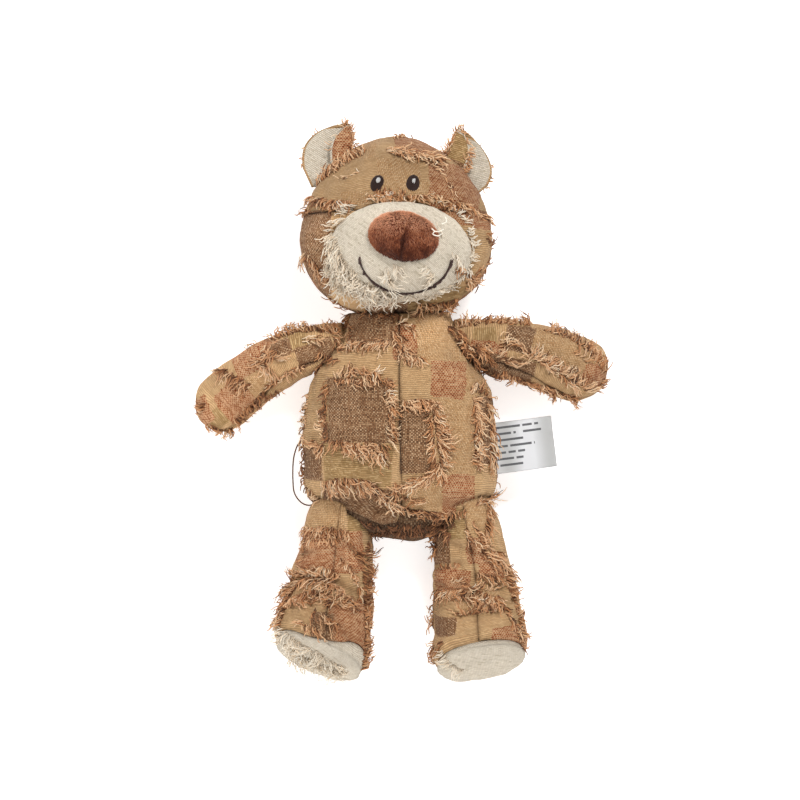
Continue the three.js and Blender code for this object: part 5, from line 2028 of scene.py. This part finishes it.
# %% Care label
LABEL = {"x": 51.5, "y": -26, "width": 37, "height": 29.4, "seam_z": 37, "end_z": 29, "turn": 7}
TAPE_THICKNESS = 0.35
TAPE_ROWS, TAPE_COLUMNS = 34, 24
IN_SEAM = 0.06  # how far it reaches into the seam, as a share of its width
f, g = np.meshgrid(np.linspace(-IN_SEAM, 1, TAPE_ROWS), np.linspace(-0.5, 0.5, TAPE_COLUMNS), indexing="ij")
fall = (1 - f) ** 2 * LABEL["seam_z"] + 2 * f * (1 - f) * (LABEL["seam_z"] + 1) + f ** 2 * LABEL["end_z"]
ripple = 0.7 * np.sin(f * 5.2 + 0.6) * np.sin(math.pi * (g + 0.5) * 0.9 + 0.4) + 0.35 * np.sin(9 * g + 3 * f)
along_tape, across_tape = LABEL["width"] * f, LABEL["height"] * g
x, y = turned(along_tape, across_tape, math.radians(LABEL["turn"]))
top = np.stack([LABEL["x"] + x, LABEL["y"] + y, fall + ripple], axis=-1)
face = grid_normals(top)
face *= np.sign(face[..., 2:3])
both = np.concatenate([top.reshape(-1, 3), (top - face * TAPE_THICKNESS).reshape(-1, 3)])
flat = np.stack([along_tape, across_tape, 0 * f], axis=-1).reshape(-1, 3)
faces = plate_faces(TAPE_ROWS, TAPE_COLUMNS, False)
label = make_piece("care_label_tape", both, faces, SATIN, {"cloth": np.tile(flat, (2, 1))})
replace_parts(label, "care_label")
size = (LABEL["width"] * MM, LABEL["height"] * MM)

print("label", label.name)

# %% [markdown]
# ## Solids that stay
# The fibre fillings and the squeaker are inside, where nobody looks until a seam opens. Their plain solids
# are exact enough, so they stay and only get a better material.

# %% Finishes of the solids that stay
SOLID_FINISHES = {"polyester_fibre": FIBRE, "squeaker_plastic": PLASTIC}
for part in frame["record"]["subparts"]:
    if part["material_slot"] in SOLID_FINISHES:
        node = frame["nodes"][part["node"]]
        node.data.materials.clear()
        node.data.materials.append(SOLID_FINISHES[part["material_slot"]])

# %% [markdown]
# ## Floor, triangles and the end
# The floor is a plain pale sheet that belongs to the picture and not to the bear. It glows a little, so
# that it stays white to the edge of the picture, as paper under studio light does.

# %% Lay the floor
FLOOR_HALF = 6.0
FLOOR_LOOKS = {
    "Base Color": (0.85, 0.85, 0.85, 1),
    "Roughness": 0.9,
    "Emission Color": (1, 1, 1, 1),
    "Emission Strength": 0.6,
}
floor_corners = [(x * FLOOR_HALF, y * FLOOR_HALF, 0) for x, y in ((-1, -1), (1, -1), (1, 1), (-1, 1))]
floor_mesh = bpy.data.meshes.new("floor")
floor_mesh.from_pydata(floor_corners, [], [(0, 1, 2, 3)])
floor = bpy.data.objects.new("floor", floor_mesh)
bpy.context.collection.objects.link(floor)
paper = bpy.data.materials.new("pale_paper")
paper.use_nodes = True
for key, value in FLOOR_LOOKS.items():
    paper.node_tree.nodes["Principled BSDF"].inputs[key].default_value = value
floor_mesh.materials.append(paper)
floor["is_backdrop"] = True
print("floor", floor.name)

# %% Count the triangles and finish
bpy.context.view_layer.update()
meshes = [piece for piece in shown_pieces() if piece.type == "MESH"]
triangles = {piece.name: sum(len(p.vertices) - 2 for p in piece.data.polygons) for piece in meshes}
print("triangles", sum(triangles.values()), "in all")
print("most in", max(triangles, key=triangles.get), max(triangles.values()))
